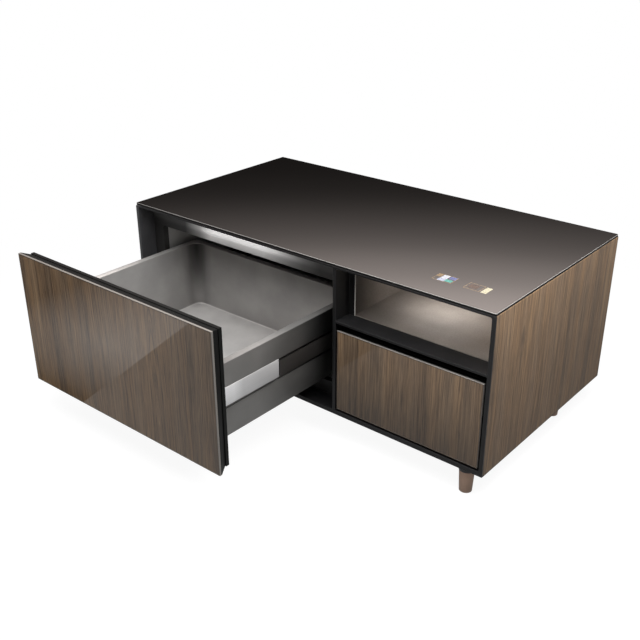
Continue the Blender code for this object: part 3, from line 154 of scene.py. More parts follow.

# Painted light and shade along the table's width (X), depth (Y) or height (Z), as places in the frame
# Painted shade: the side veneer darker towards the floor
SIDE_PAINTED_SHADE_Z = ((0.09, 0.8), (0.33, 0.86), (0.44, 1.0))
# Painted light: the black frame much lighter at its left end, on the wall of the recess
FRAME_PAINTED_LIGHT_X = ((-0.543, 7.0), (-0.525, 1.0))
# Painted shade: the bronze of a foot darker towards its right face
FOOT_PAINTED_SHADE_X = ((0.502, 1.0), (0.512, 0.85), (0.53, 0.5))
# Painted highlight on the flange steel: bright in a band across its width, dark at its ends
FLANGE_PAINTED_HIGHLIGHT_X = (
    (-0.416, 0.08), (-0.36, 0.6), (-0.32, 1.6), (-0.247, 1.2),
    (-0.13, 1.2), (-0.06, 0.6), (0.0, 0.22), (0.052, 0.06),
)
# Painted highlight on the flange steel, brightest at its upper edge
FLANGE_PAINTED_HIGHLIGHT_Z = ((0.396, 0.42), (0.41, 0.66), (0.42, 1.4))
# Painted light: the refrigerator front lighter towards its left end, and painted shade towards its right
FRIDGE_FRONT_PAINTED_LIGHT_X = ((-0.53, 1.6), (-0.45, 1.25), (-0.3, 1.15), (-0.1, 1.05), (0.12, 0.78))
# Painted shade: the small drawer's front darker towards its bottom
SMALL_FRONT_PAINTED_SHADE_Z = ((0.094, 0.42), (0.13, 0.5), (0.2, 0.74), (0.3, 0.98))
# Painted shade towards the front of the niche, and painted light towards its rear
NICHE_PAINTED_SHADE_Y = ((-0.056, 0.52), (-0.035, 0.68), (-0.005, 0.9), (0.031, 0.97), (0.06, 0.95), (0.21, 1.1))

# Painted light and shade measured from a piece's own left, front or floor
# Painted light in a thin line at the niche's left edge, and painted shade beside its left wall
NICHE_PAINTED_LIGHT_AND_SHADE_FROM_LEFT = ((0.0006, 1.45), (0.0016, 0.66), (0.03, 0.84), (0.11, 1.0))
# Painted shade round a point at the niche's front, half way up
NICHE_PAINTED_SHADE_ROUND_FRONT = ((0.0, 0.45), (0.06, 0.62), (0.13, 1.0))
# Painted light on the bin's floor and painted shade up its walls
BIN_PAINTED_LIGHT_AND_SHADE_FROM_FLOOR = ((0, 1.2), (0.0006, 1.5), (0.0022, 0.58), (0.06, 0.69))
BIN_PAINTED_SHADE_AT_TOP = 0.64
# Where the painted shade of the bin's rear left corner centres, and how far in from the rim's ends its
# painted shade runs
BIN_PAINTED_SHADE_CORNER, RIM_PAINTED_SHADE_INSET = (0.024, -0.022, -0.01), 0.02
# Painted shade round the bin's rear left corner, fading away from it
BIN_PAINTED_SHADE_ROUND_CORNER = ((0.004, 0.07), (0.018, 0.28), (0.034, 0.75), (0.055, 1.0))
# Painted shade: the rim darker towards the rear
RIM_PAINTED_SHADE_FROM_FRONT = ((0, 0.95), (0.12, 0.95), (0.17, 0.8), (0.25, 0.55), (0.35, 0.45))
# Painted shade: the bin's skirt darker towards the rear, inside the cabinet
SKIRT_PAINTED_SHADE_FROM_FRONT = ((0, 1.05), (0.06, 1.0), (0.134, 0.83), (0.233, 0.42), (0.34, 0.08))
# Painted shade: the bin's lower shell darker towards the rear, inside the cabinet
SHELL_PAINTED_SHADE_FROM_FRONT = ((0, 1.1), (0.14, 1.05), (0.209, 0.72), (0.28, 0.55), (0.345, 0.27))
# Painted light at the front of the rail covers, and painted shade further back
COVER_PAINTED_LIGHT_AND_SHADE_FROM_FRONT = ((0, 1.3), (0.05, 1.2), (0.08, 0.86), (0.13, 0.8), (0.2, 0.78))

# The bin: walls, side channels, the wall behind the hollow, and its roundings
BIN_WALL, BIN_FLOOR = 0.0027, 0.0041
BIN_CHANNEL, BIN_BACK = 0.0153, 0.0165
BIN_FILLET, BIN_CORNER, BIN_SOFT = 0.005, 0.028, 0.0014
RIM_CORNER, RIM_TIP, RIM_EDGE, COVER_GAP = 0.008, 0.0004, 0.0012, 0.0003
BODY_CORNER, BODY_TIP, BODY_LAP = 0.003, 0.001, 0.0002
BIN_ROUND_FROM, BIN_FRONT_CORNER = 0.012, 0.0012

# Edge strips of the niche, and the line on the small drawer's frame
STRIP_FRONT, STRIP_WIDTH, STRIP_ROUND = 0.0018, 0.0016, 0.0002
STRIP_INSET, SILL_HEIGHT = 0.0003, 0.0009
LIP_END, LIP_FRONT, LIP_REAR, LIP_HEIGHT = 0.001, 0.0012, 0.0002, 0.0002

FLOOR_RADIUS, FLOOR_STEPS = 14, 96
FLOOR_GREY, FLOOR_LIFT, FLOOR_MIRRORED = 0.14, 0.93, 0.35
FLOOR_WHITE = (0.9, 1.7)
CARD_CORNERS = ((-1.9, -1.35), (-0.699, -1.35), (-0.4755, -0.55), (-1.9, -0.55))
CARD_HEIGHT, CARD_GLOW = 0.002, 1.15
CARD_FADE_X, CARD_FADE_Y = (-1.15, -0.70), (-0.58, -0.82)

# Lamps: name, its setting, place, aim, size, and whether mirrors see it
LAMPS = (
    ("overhead_lamp", "lamp", (0.0, -0.35, 1.6), (0, -0.35, 0), (2.0, 1.6), False),
    ("front_lamp", "front", (-0.1, -1.05, 1.95), (-0.1, -0.25, 0.2), (0.8, 0.9), True),
    ("side_lamp", "side", (0.88, -0.1, 1.25), (0.5, 0.1, 0.3), (0.9, 0.5), False),
    ("niche_pool_lamp", "pool", (0.325, 0.088, 0.439), (0.325, 0.088, 0.1), (0.11, 0.06), False),
    ("flange_lamp", "accent", (-0.22, -0.28, 0.43), (-0.22, -0.048, 0.41), (0.08, 0.04), True),
)

CAMERA_PLACE, CAMERA_AHEAD = (1.3015, -1.5457, 1.2202), (-0.5787, 0.6899, -0.4349)
CAMERA_ROLL = math.radians(0.17)
SENSOR_WIDTH, VIEW_END = 36, 60

# What mirrors see of the sky: height of the ray's direction, and a share of the strength
MIRRORED_STRENGTH = 1.7
MIRRORED_TINT = (1.0, 0.87, 0.81)
MIRRORED_SKY = (
    (0.255, 0.006), (0.282, 0.010), (0.299, 0.019), (0.310, 0.034), (0.321, 0.061),
    (0.334, 0.104), (0.346, 0.151), (0.358, 0.219), (0.372, 0.351), (0.389, 0.498),
    (0.405, 0.719), (0.425, 0.933), (0.450, 1.000), (0.600, 0.600),
)


def srgb(red, green, blue):
    """A colour measured from 0 to 255 as scene colour."""
    parts = [value / 255 for value in (red, green, blue)]
    return tuple(part / 12.92 if part <= 0.04045 else ((part + 0.055) / 1.055) ** 2.4 for part in parts)


# Materials


class Nodes:
    """A node tree while it is put together."""

    def __init__(self, tree):
        self.tree = tree

    def wire(self, socket, value):
        """Link an output, or set a plain value."""
        if isinstance(value, bpy.types.NodeSocket):
            self.tree.links.new(value, socket)
        elif socket.type == "RGBA" and len(value) == 3:
            socket.default_value = (*value, 1.0)
        else:
            socket.default_value = value

    def node(self, kind, inputs=None, **settings):
        """A new node with its settings, and a link or a value for each input that is given."""
        made = self.tree.nodes.new("ShaderNode" + kind)
        for name, value in settings.items():
            setattr(made, name, value)
        for name, value in (inputs or {}).items():
            self.wire(made.inputs[name], value)
        return made

    def coords(self):
        """Object coordinates."""
        return self.node("TexCoord").outputs["Object"]

    def axis(self, vector, name):
        """One axis of a vector."""
        return self.node("SeparateXYZ", {0: vector}).outputs[name]

    def vectors(self, operation, one, other, output="Vector"):
        """Arithmetic on two vectors."""
        return self.node("VectorMath", {0: one, 1: other}, operation=operation).outputs[output]

    def place(self, scale, turn=0.0, offset=(0, 0, 0)):
        """Object coordinates, turned about the upright axis and then scaled."""
        inputs = {"Vector": self.coords(), "Rotation": (0, 0, turn), "Location": offset}
        mapping = self.node("Mapping", inputs, vector_type="POINT")
        return self.vectors("MULTIPLY", mapping.outputs["Vector"], scale)

    def noise(self, vector, detail=4.0, roughness=0.5):
        """Noise on the given coordinates."""
        inputs = {"Vector": vector, "Scale": 1.0, "Detail": detail, "Roughness": roughness}
        return self.node("TexNoise", inputs).outputs["Fac"]

    def ramp(self, value, *stops):
        """Colours or greys at places along a value."""
        made = self.node("ValToRGB", {"Fac": value})
        elements = made.color_ramp.elements
        while len(elements) < len(stops):
            elements.new(0.5)
        for element, (place, colour) in zip(elements, stops):
            element.position = place
            element.color = (*colour, 1.0) if isinstance(colour, tuple) else (colour, colour, colour, 1.0)
        return made.outputs["Color"]

    def mix(self, factor, one, other, blend="MIX"):
        """Mix two colours."""
        inputs = {0: factor, 6: one, 7: other}
        return self.node("Mix", inputs, data_type="RGBA", blend_type=blend).outputs[2]

    def sum(self, one, other, operation="ADD", third=None):
        """Arithmetic on two or three values."""
        inputs = {0: one, 1: other} if third is None else {0: one, 1: other, 2: third}
        return self.node("Math", inputs, operation=operation).outputs[0]

    def spread(self, value, low, high):
        """Stretch a value of 0 to 1 between two limits."""
        return self.sum(value, high - low, "MULTIPLY_ADD", low)

    def share(self, value, low, high, interpolation="LINEAR"):
        """How far a value has come from one limit to another, from 0 to 1."""
        inputs = {"Value": value, "From Min": low, "From Max": high}
        return self.node("MapRange", inputs, interpolation_type=interpolation).outputs[0]

    def either(self, factor, one, other):
        """Mix two shaders."""
        return self.node("MixShader", {0: factor, 1: one, 2: other}).outputs[0]

    def rays(self):
        """The kinds of ray, and 1 for a ray that comes from the camera, also through glass."""
        path = self.node("LightPath").outputs
        return path, self.sum(path["Is Camera Ray"], path["Is Transmission Ray"], "MAXIMUM")


class Finish(Nodes):
    """A material's nodes while they are put together."""

    def __init__(self, name, colour, roughness, metallic=0.0, **sockets):
        self.material = bpy.data.materials.new(name)
        self.material.use_nodes = True
        super().__init__(self.material.node_tree)
        self.shader = self.tree.nodes["Principled BSDF"]
        self.put("Base Color", colour)
        self.put("Roughness", roughness)
        self.put("Metallic", metallic)
        for socket, value in sockets.items():
            self.put(socket.replace("_", " "), value)
        self.material.diffuse_color = (*colour, 1.0)

    def put(self, socket, value):
        """Set or link one of the shader's own sockets."""
        self.wire(self.shader.inputs[socket], value)

    def bump(self, height, distance):
        """Raise the surface by a height."""
        made = self.node("Bump", {"Strength": 1.0, "Distance": distance, "Height": height})
        self.put("Normal", made.outputs["Normal"])


def walnut(name, turn=0.0, offset=(0, 0, 0), heart=(0.0, 0.0), glazed=False):
    """Walnut veneer: growth lines that arch over a heart, streaks, figure and pores."""
    looks = bpy.context.scene.table_looks
    made = Finish(name, tuple(looks.walnut_middle), 0.45, Specular_IOR_Level=0.3)
    parts = made.node("SeparateXYZ", {0: made.place((1, 1, 1), turn, offset)}).outputs
    beside = made.sum(parts["X"], heart[0], "SUBTRACT")
    above = made.sum(made.sum(parts["Z"], heart[1], "SUBTRACT"), ARCH, "MULTIPLY")
    ring = made.sum(made.sum(beside, beside, "MULTIPLY"), made.sum(above, above, "MULTIPLY"))
    ring = made.sum(ring, 0.5, "POWER")
    sway = made.noise(made.place(SWAY_SCALE, turn, offset), detail=3)
    ring = made.sum(sway, SWAY, "MULTIPLY_ADD", ring)

    def lines(across, length, detail, roughness):
        """Noise drawn out along the grain."""
        places = (
            made.sum(ring, across, "MULTIPLY"),
            made.sum(beside, STEADY, "MULTIPLY"),
            made.sum(parts["Z"], length, "MULTIPLY"),
        )
        joined = made.node("CombineXYZ", dict(enumerate(places)))
        return made.noise(joined.outputs[0], detail, roughness)

    streaks, pores = lines(*STREAKS), lines(*PORES)
    tone = made.sum(streaks, STREAK_WEIGHT, "MULTIPLY")
    for row, weight in LINE_WEIGHTS:
        tone = made.sum(lines(*row), weight, "MULTIPLY_ADD", tone)
    colour = made.ramp(tone, *((place, tuple(getattr(looks, setting))) for place, setting in WALNUT_STOPS))
    colour = made.mix(1.0, colour, made.ramp(lines(*CLOUDS), *CLOUD_STOPS), "MULTIPLY")
    colour = made.mix(PORE_SHARE, colour, made.ramp(pores, *PORE_STOPS), "MULTIPLY")
    made.put("Base Color", colour)
    made.put("Roughness", made.spread(streaks, *VENEER_ROUGHNESS))
    made.bump(pores, PORE_DEPTH)
    if glazed:
        for socket, value in GLAZING.items():
            made.put(socket, value)
    return made.material


def glass_sheet():
    """Dark coated glass that mirrors the room, with the faint cloudiness of a wiped pane."""
    looks = bpy.context.scene.table_looks
    dark = tuple(looks.glass_colour)
    made = Finish("dark_glass", dark, 0.03, IOR=2.5)
    haze = made.noise(made.place((7, 7, 7)), detail=6, roughness=0.7)
    made.put("Roughness", made.spread(haze, 0.015, 0.05))
    tint = made.noise(made.place((3, 3, 3)), detail=2)
    made.put("Base Color", made.ramp(tint, (0.3, dark), (0.7, tuple(part * 1.2 for part in dark))))
    return made.material


def painted(name, colour, roughness, grain=900, depth=0.00003, speckle=0.04, **sockets):
    """Sprayed or powder-coated finish with a fine orange peel and slight cloudiness."""
    made = Finish(name, colour, roughness, **sockets)
    peel = made.noise(made.place((grain,) * 3), detail=3, roughness=0.6)
    cloud = made.noise(made.place((14,) * 3), detail=3)
    pale = tuple(min(1.0, part * 1.18 + 0.002) for part in colour)
    tint = made.ramp(cloud, (0.35, colour), (0.7, pale))
    made.put("Base Color", made.mix(1.0, tint, made.ramp(peel, (0.35, 1 - speckle), (0.6, 1.0)), "MULTIPLY"))
    made.put("Roughness", made.spread(cloud, roughness - 0.05, roughness + 0.06))
    made.bump(peel, depth)
    return made.material


def brushed(name, colour, roughness, run=BRUSHED_X, metallic=1.0, depth=0.00001):
    """Metal brushed along one axis."""
    made = Finish(name, colour, roughness, metallic)
    lines = made.noise(made.place(run), detail=4, roughness=0.65)
    cloud = made.noise(made.place((20,) * 3), detail=3)
    dull = tuple(part * 0.86 for part in colour)
    made.put("Base Color", made.ramp(lines, (0.3, dull), (0.65, colour)))
    rough = made.sum(made.spread(lines, roughness - 0.06, roughness + 0.08), made.spread(cloud, -0.03, 0.04))
    made.put("Roughness", rough)
    made.bump(lines, depth)
    return made.material


def paint_light_and_shade(material, along, stops, start=0.0, stretch=(1, 1, 1)):
    """Paint light and shade into a material along an axis, or by the distance from a point; the places count
    from a start.
    """
    made = Nodes(material.node_tree)
    if isinstance(along, str):
        measured = made.axis(made.coords(), along)
    else:
        point = [part * scale for part, scale in zip(along, stretch)]
        measured = made.vectors("DISTANCE", made.vectors("MULTIPLY", made.coords(), stretch), point, "Value")
    low, high = stops[0][0], stops[-1][0]
    places = [((place - low) / (high - low), grey) for place, grey in stops]
    shade = made.ramp(made.share(measured, start + low, start + high), *places)
    base = material.node_tree.nodes["Principled BSDF"].inputs["Base Color"]
    made.wire(base, made.mix(1.0, base.links[0].from_socket, shade, "MULTIPLY"))


def lamp_glow(name, colour, strength):
    """Milky cover over a strip of small lamps."""
    made = Finish(name, (0.85, 0.83, 0.80), 0.5)
    dots = made.noise(made.place((0.0, 60, 0.0)), detail=1)
    made.put("Emission Color", made.ramp(dots, (0.3, tuple(part * 0.9 for part in colour)), (0.7, colour)))
    made.put("Emission Strength", strength)
    return made.material


# Shapes


def added(name, bm):
    """Add a bmesh to the scene as an object."""
    mesh = bpy.data.meshes.new(name)
    bm.to_mesh(mesh)
    bm.free()
    made = bpy.data.objects.new(name, mesh)
    bpy.context.scene.collection.objects.link(made)
    return made


def shaped(name, bm, finish, body, slot, *nodes, smooth=True):
    """Make a finished piece of a bmesh, put it on its body and let it stand for its nodes."""
    made = added(name, bm)
    for one in finish if isinstance(finish, list) else [finish]:
        made.data.materials.append(one)
    if smooth:
        made.data.shade_smooth()
    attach(made, body)
    if nodes:
        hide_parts(*nodes)
    return made


def edged(made, width, segments=2):
    """Round the sharp edges of a piece."""
    change = made.modifiers.new("Rounded edges", "BEVEL")
    change.width = width
    change.segments = segments
    change.limit_method = "ANGLE"
    change.angle_limit = BEVEL_TURN
    change.harden_normals = True
    change.use_clamp_overlap = False
    return made


def calm(made):
    """Shade round strips smooth, and keep wide faces truly flat."""
    mesh = made.data
    mesh.shade_smooth()
    for face in mesh.polygons:
        points = [mesh.vertices[index].co for index in face.vertices]
        shortest = min((one - other).length for one, other in zip(points, points[1:] + points[:1]))
        face.use_smooth = len(points) == 4 and shortest < ROUND_STRIP
    mesh.set_sharp_from_angle(angle=BEVEL_TURN)
    return made


def copied(node, flat=True):
    """A CAD node's shape with its loose triangles joined up into flat faces."""
    bm = bmesh.new()
    bm.from_mesh(frame["nodes"][node].data)
    bmesh.ops.remove_doubles(bm, verts=bm.verts, dist=MERGE)
    return flattened(bm) if flat else bm


def flattened(bm):
    """Join up the triangles of flat faces."""
    bmesh.ops.dissolve_limit(bm, angle_limit=FLAT_TURN, verts=bm.verts, edges=bm.edges)
    return bm


def finished(node, name, finish, rounding="", segments=2):
    """A copy of a CAD node that stands for it, with its edges rounded by a setting or left as they are."""
    cad = frame["nodes"][node]
    made = shaped(name, copied(node), finish, cad["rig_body"], slot_of(node), node)
    if not rounding:
        return calm(made)
    return edged(made, getattr(bpy.context.scene.table_looks, rounding), segments)


def rimmed(node, name):
    """The trim of a drawer front: a dark face, and polished edges outside."""
    rows = (("trim_face", (92, 80, 70), (4, 900, 4), 0.6), ("trim_edge", (152, 148, 143), (900, 4, 4), 0.4))
    face, edge = (
        bpy.data.materials.get(title) or brushed(title, srgb(*colour), 0.38, run, metallic)
        for title, colour, run, metallic in rows
    )
    made = finished(node, name, face)
    made.data.materials.append(edge)
    for polygon in made.data.polygons:
        polygon.material_index = 0 if polygon.normal.y < -0.9 else 1
    return made


def slot_of(node):
    """The record's slot of a node."""
    rows = frame["record"]["subparts"]
    return next(row["material_slot"] for row in rows if row["node"] == node)


def dressed(finish, *nodes):
    """Give CAD nodes a better material."""
    for node in nodes:
        thing = frame["nodes"][node]
        for slot in thing.material_slots:
            slot.material = finish


def block(low, high):
    """A block between two corners."""
    bm = bmesh.new()
    add_block(bm, low, high)
    return bm


def add_block(bm, low, high):
    """Add a block between two corners."""
    made = bmesh.ops.create_cube(bm, size=1)["verts"]
    low, high = Vector(low), Vector(high)
    bmesh.ops.scale(bm, vec=high - low, verts=made)
    bmesh.ops.translate(bm, vec=(high + low) / 2, verts=made)


def rounded_edges(bm, width, segments, test):
    """Round the edges whose two ends pass a test."""
    chosen = [edge for edge in bm.edges if test(edge.verts[0].co, edge.verts[1].co)]
    bmesh.ops.bevel(
        bm,
        geom=chosen,
        offset=width,
        segments=segments,
        profile=0.5,
        affect="EDGES",
        material=-1,
    )


def turned(profile, centre, steps=96):
    """Spin a profile of radius and height round an upright axis."""
    bm = bmesh.new()
    verts = [bm.verts.new((radius, 0, height)) for radius, height in profile]
    edges = [bm.edges.new(pair) for pair in zip(verts, verts[1:])]
    bmesh.ops.spin(
        bm,
        geom=verts + edges,
        cent=(0, 0, 0),
        axis=(0, 0, 1),
        angle=math.tau,
        steps=steps,
        use_merge=True,
    )
    bmesh.ops.remove_doubles(bm, verts=bm.verts, dist=MERGE)
    bmesh.ops.recalc_face_normals(bm, faces=bm.faces)
    bmesh.ops.translate(bm, verts=bm.verts, vec=centre)
    return bm


def same(one, other):
    """True where two places are the same."""
    return abs(one - other) < HAIR


def arc(steps):
    """Sine and cosine at even steps through a quarter turn."""
    turns = [QUARTER * step / steps for step in range(steps + 1)]
    return [(math.sin(turn), math.cos(turn)) for turn in turns]


# Settings


def colour_setting(name, description, default):
    """A colour that a user may change."""
    return FloatVectorProperty(
        name=name, description=description, subtype="COLOR", size=3, min=0.0, max=1.0, default=default
    )


def length_setting(name, description, default):
    """A length that a user may change."""
    return FloatProperty(
        name=name, description=description, default=default, min=0.0, unit="LENGTH", precision=5
    )


def power_setting(name, description, default):
    """The power of a lamp that a user may change."""
    return FloatProperty(name=name, description=description, default=default, min=0.0, unit="POWER")


class TableLooks(bpy.types.PropertyGroup):
    """Colours and small sizes of the table."""

    walnut_dark: colour_setting("Walnut dark", "Darkest streaks of the veneer", srgb(84, 67, 52))
    walnut_grey: colour_setting("Walnut grey", "Cool streaks of the veneer", srgb(109, 92, 76))
    walnut_middle: colour_setting("Walnut middle", "Main colour of the veneer", srgb(133, 110, 88))
    walnut_light: colour_setting("Walnut light", "Light streaks of the veneer", srgb(153, 127, 100))
    walnut_pale: colour_setting("Walnut pale", "Palest streaks of the veneer", srgb(176, 147, 115))
    glass_colour: colour_setting("Glass", "Body of the dark glass", srgb(20, 18, 17))
    frame_colour: colour_setting("Frame", "Black paint of the frame", srgb(26, 26, 27))
    edge_round: length_setting("Edge", "Rounding of painted edges", 0.0009)
    fine_round: length_setting("Fine edge", "Rounding of thin metal edges", 0.0003)


class StageLooks(bpy.types.PropertyGroup):
    """Camera and light."""

    lens: FloatProperty(name="Lens", description="Focal length", default=50.085, min=1.0, unit="CAMERA")
    sky: FloatProperty(name="Sky", description="Light from all round", default=0.14, min=0.0)
    lamp: power_setting("Lamp", "Overhead lamp", 17.0)
    front: power_setting("Front", "Lamp over the drawer", 17.0)
    side: power_setting("Side", "Lamp at the right", 15.0)
    pool: power_setting("Pool", "Light in the niche", 0.2)
    accent: power_setting("Accent", "Light on the flange", 0.25)


# Pieces


class TABLE_OT_glass_top(bpy.types.Operator):
    """Dark glass sheet with a ground edge, and the touch fields let into it"""

    bl_idname = "fridge_table.glass_top"
    bl_label = "Glass top"

    def execute(self, context):
        low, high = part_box("top_glass")
        top = high.z - HAIR
        bm = block(low, (high.x, high.y, top))
        rounded_edges(bm, GLASS_CORNER, 8, lambda a, b: same(a.x, b.x) and same(a.y, b.y))
        rounded_edges(bm, GLASS_CHAMFER, 1, lambda a, b: same(a.z, top) and same(b.z, top))
        for face in bm.faces:
            upright = abs(face.normal.z) < UPRIGHT
            face.material_index = 2 if upright else int(UPRIGHT < face.normal.z < LEVEL)
        # The pale chamfer is the ground arris, made lighter still as a painted highlight
        edge = painted("glass_edge", srgb(146, 143, 140), 0.7, grain=300, Specular_IOR_Level=0.1)
        ground = painted("glass_side", srgb(14, 14, 14), 0.6, grain=300, Specular_IOR_Level=0.2)
        finishes = [glass_sheet(), edge, ground]
        sheet = shaped("top_glass_sheet", bm, finishes, "cabinet", "dark_glass", "top_glass")
        calm(sheet)
        self.fields(Vector((low.x - FIELD_SHIFT, low.y - FIELD_SHIFT, top)))
        return {"FINISHED"}

    def fields(self, corner):
        """Touch fields: plain coloured tiles and thin outlines, flush in the glass."""
        for name, colour, place in TOUCH_FIELDS:
            bm = bmesh.new()
            self.tile(bm, corner, *place)
            self.field(name, bm, srgb(*colour))
        bm = bmesh.new()
        for place in OUTLINES:
            self.outline(bm, corner, *place)
        self.field("line", bm, srgb(*OUTLINE_COLOUR))

    def field(self, name, bm, colour):
        """Print a field in its colour."""
        made = Finish("field_" + name, colour, 0.2)
        cells = made.noise(made.place((260, 260, 0)), detail=2)
        dim = tuple(part * 0.62 for part in colour)
        made.put("Base Color", made.ramp(cells, (0.38, dim), (0.56, colour)))
        shaped("touch_field_" + name, bm, made.material, "cabinet", "dark_glass", smooth=False)

    def tile(self, bm, corner, left, front, right, rear):
        """One flat tile, measured from the table's front left corner."""
        low = corner + Vector((left, front, -HAIR))
        high = corner + Vector((right, rear, HAIR * 0.8))
        add_block(bm, low, high)

    def outline(self, bm, corner, left, front, right, rear):
        """Thin outline of a field."""
        inner = (left + OUTLINE_WIDTH, front + OUTLINE_WIDTH, right - OUTLINE_WIDTH, rear - OUTLINE_WIDTH)
        self.tile(bm, corner, left, front, right, inner[1])
        self.tile(bm, corner, left, inner[3], right, rear)
        self.tile(bm, corner, left, inner[1], inner[0], inner[3])
        self.tile(bm, corner, inner[2], inner[1], right, inner[3])


class TABLE_OT_casing(bpy.types.Operator):
    """Walnut sides, the black front frame and the boards behind it"""

    bl_idname = "fridge_table.casing"
    bl_label = "Casing"

    def execute(self, context):
        looks = context.scene.table_looks
        for side in SIDES:
            veneer = walnut("walnut_side_" + side, QUARTER, heart=HEARTS[side])
            # Painted shade, darker towards the bottom of each side
            paint_light_and_shade(veneer, "Z", SIDE_PAINTED_SHADE_Z)
            self.side(side, veneer)
        black = painted("frame_black", tuple(looks.frame_colour), 0.4, Specular_IOR_Level=0.32)
        # Painted light on the left wall of the recess
        paint_light_and_shade(black, "X", FRAME_PAINTED_LIGHT_X)
        self.frame(black, looks.edge_round)
        dressed(black, "top_board", "bay_divider", "machine_partition", "niche_shelf")
        grey = painted("base_grey", srgb(70, 70, 71), 0.55)
        finished("base_panel", "base_panel_paint", grey, "fine_round")
        finished("back_panel", "back_panel_paint", grey, "fine_round")
        self.screws()
        return {"FINISHED"}

    def screws(self):
        """Socket-head screws along the edges of the back panel."""
        low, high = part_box("back_panel")
        bm = bmesh.new()
        for share in SCREW_SHARES:
            across = low.x + (high.x - low.x) * share
            for height in (low.z + SCREW_INSET, high.z - SCREW_INSET):
                one = turned(SCREW_HEAD, (0, 0, 0), 24)
                laid = Matrix.Rotation(-QUARTER, 3, "X")
                bmesh.ops.rotate(one, verts=one.verts, cent=(0, 0, 0), matrix=laid)
                bmesh.ops.translate(one, verts=one.verts, vec=(across, high.y, height))
                spare = bpy.data.meshes.new("screw")
                one.to_mesh(spare)
                one.free()
                bm.from_mesh(spare)
                bpy.data.meshes.remove(spare)
        zinc = brushed("zinc", srgb(150, 151, 153), 0.4, (900, 900, 900), 0.8)
        made = shaped("back_panel_screws", bm, zinc, "cabinet", slot_of("fridge_slide_cabinet_left"))
        made.data.set_sharp_from_angle(angle=BEVEL_TURN)

    def side(self, side, veneer):
        """A veneered side with a band of painted shade along its lower edge."""
        node = "side_panel_" + side
        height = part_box(node)[0].z + SHADE_BAND_HEIGHT
        bm = copied(node)
        geom = list(bm.verts) + list(bm.edges) + list(bm.faces)
        bmesh.ops.bisect_plane(bm, geom=geom, dist=MERGE, plane_co=(0, 0, height), plane_no=(0, 0, 1))
        for face in bm.faces:
            face.material_index = 1 if face.calc_center_median().z < height else 0
        # Painted shade: a dark band along the lower edge
        band = bpy.data.materials.get("edge_band") or painted("edge_band", srgb(30, 26, 23), 0.5)
        calm(shaped("side_veneer_" + side, bm, [veneer, band], "cabinet", slot_of(node), node))

    def frame(self, black, edge):
        """The front frame with round upper corners, outside and in the niche."""
        low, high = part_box("front_frame")
        bm = copied("front_frame", flat=False)
        niche_corner = (high.x - FRAME_RIGHT_POST, high.z - FRAME_TOP_BAR)
        corners = ((low.x, high.z), (high.x, high.z), niche_corner)

        def at_corner(one, other):
            return any(all(same(end.x, x) and same(end.z, z) for end in (one, other)) for x, z in corners)

        rounded_edges(bm, FRAME_ROUND, 6, at_corner)
        slot = slot_of("front_frame")
        edged(shaped("front_frame_paint", flattened(bm), black, "cabinet", slot, "front_frame"), edge, 3)


class TABLE_OT_feet(bpy.types.Operator):
    """Black collars and tapered bronze feet"""

    bl_idname = "fridge_table.feet"
    bl_label = "Feet"

    def execute(self, context):
        bronze = brushed("bronze", srgb(180, 152, 134), 0.38, BRUSHED_Z, metallic=0.7)
        # Painted shade towards the right face of the feet
        paint_light_and_shade(bronze, "X", FOOT_PAINTED_SHADE_X)
        black = painted("collar_black", srgb(34, 34, 36), 0.4)
        for row in ("front", "rear"):
            for side in SIDES:
                place = row + "_" + side
                self.spun("foot_collar_", place, black, "collar_black", COLLAR_TOP)
                self.spun("foot_", place, bronze, "bronze", FOOT_TOP, FOOT_TIP)
        return {"FINISHED"}

    def spun(self, part, place, finish, slot, top, tip=None):
        """A piece with soft ends, turned on the axis of the collar; it may taper to a tip."""
        low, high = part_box(part + place)
        radius, soft = (high.x - low.x) / 2, FOOT_SOFT
        inset, middle = (share * soft for share in top)
        tip = tip or radius
        profile = [
            (0, high.z),
            (radius - inset, high.z),
            (radius - middle, high.z - middle),
            (radius, high.z - soft),
            (tip, low.z + soft),
            (tip - soft / 3, low.z + soft / 3),
            (tip - soft, low.z),
            (0, low.z),
        ]
        low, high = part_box("foot_collar_" + place)
        bm = turned(profile, ((low.x + high.x) / 2, (low.y + high.y) / 2, 0))
        made = shaped(part + "turned_" + place, bm, finish, "cabinet", slot, part + place)
        made.data.set_sharp_from_angle(angle=FOOT_TURN)


class TABLE_OT_cavity(bpy.types.Operator):
    """Steel flange, liner and evaporator of the refrigerator"""

    bl_idname = "fridge_table.cavity"
    bl_label = "Refrigerator cavity"

    def execute(self, context):
        steel = brushed("flange_steel", srgb(238, 237, 236), 0.45, (5, 900, 900), 0.25, 0.00003)
        # Painted highlight on the flange, across its width and towards its upper edge
        paint_light_and_shade(steel, "X", FLANGE_PAINTED_HIGHLIGHT_X)
        paint_light_and_shade(steel, "Z", FLANGE_PAINTED_HIGHLIGHT_Z)
        finished("face_flange", "face_flange_steel", steel)
        liner = painted("liner_grey", srgb(150, 150, 149), 0.36, grain=500)
        finished("cavity_liner", "cavity_liner_skin", liner, "edge_round")
        dressed(brushed("evaporator", srgb(205, 205, 206), 0.38), "evaporator_plate")
        dressed(painted("foam", (0.75, 0.70, 0.55), 0.9, grain=260, depth=0.0006), "insulation_body")
        return {"FINISHED"}


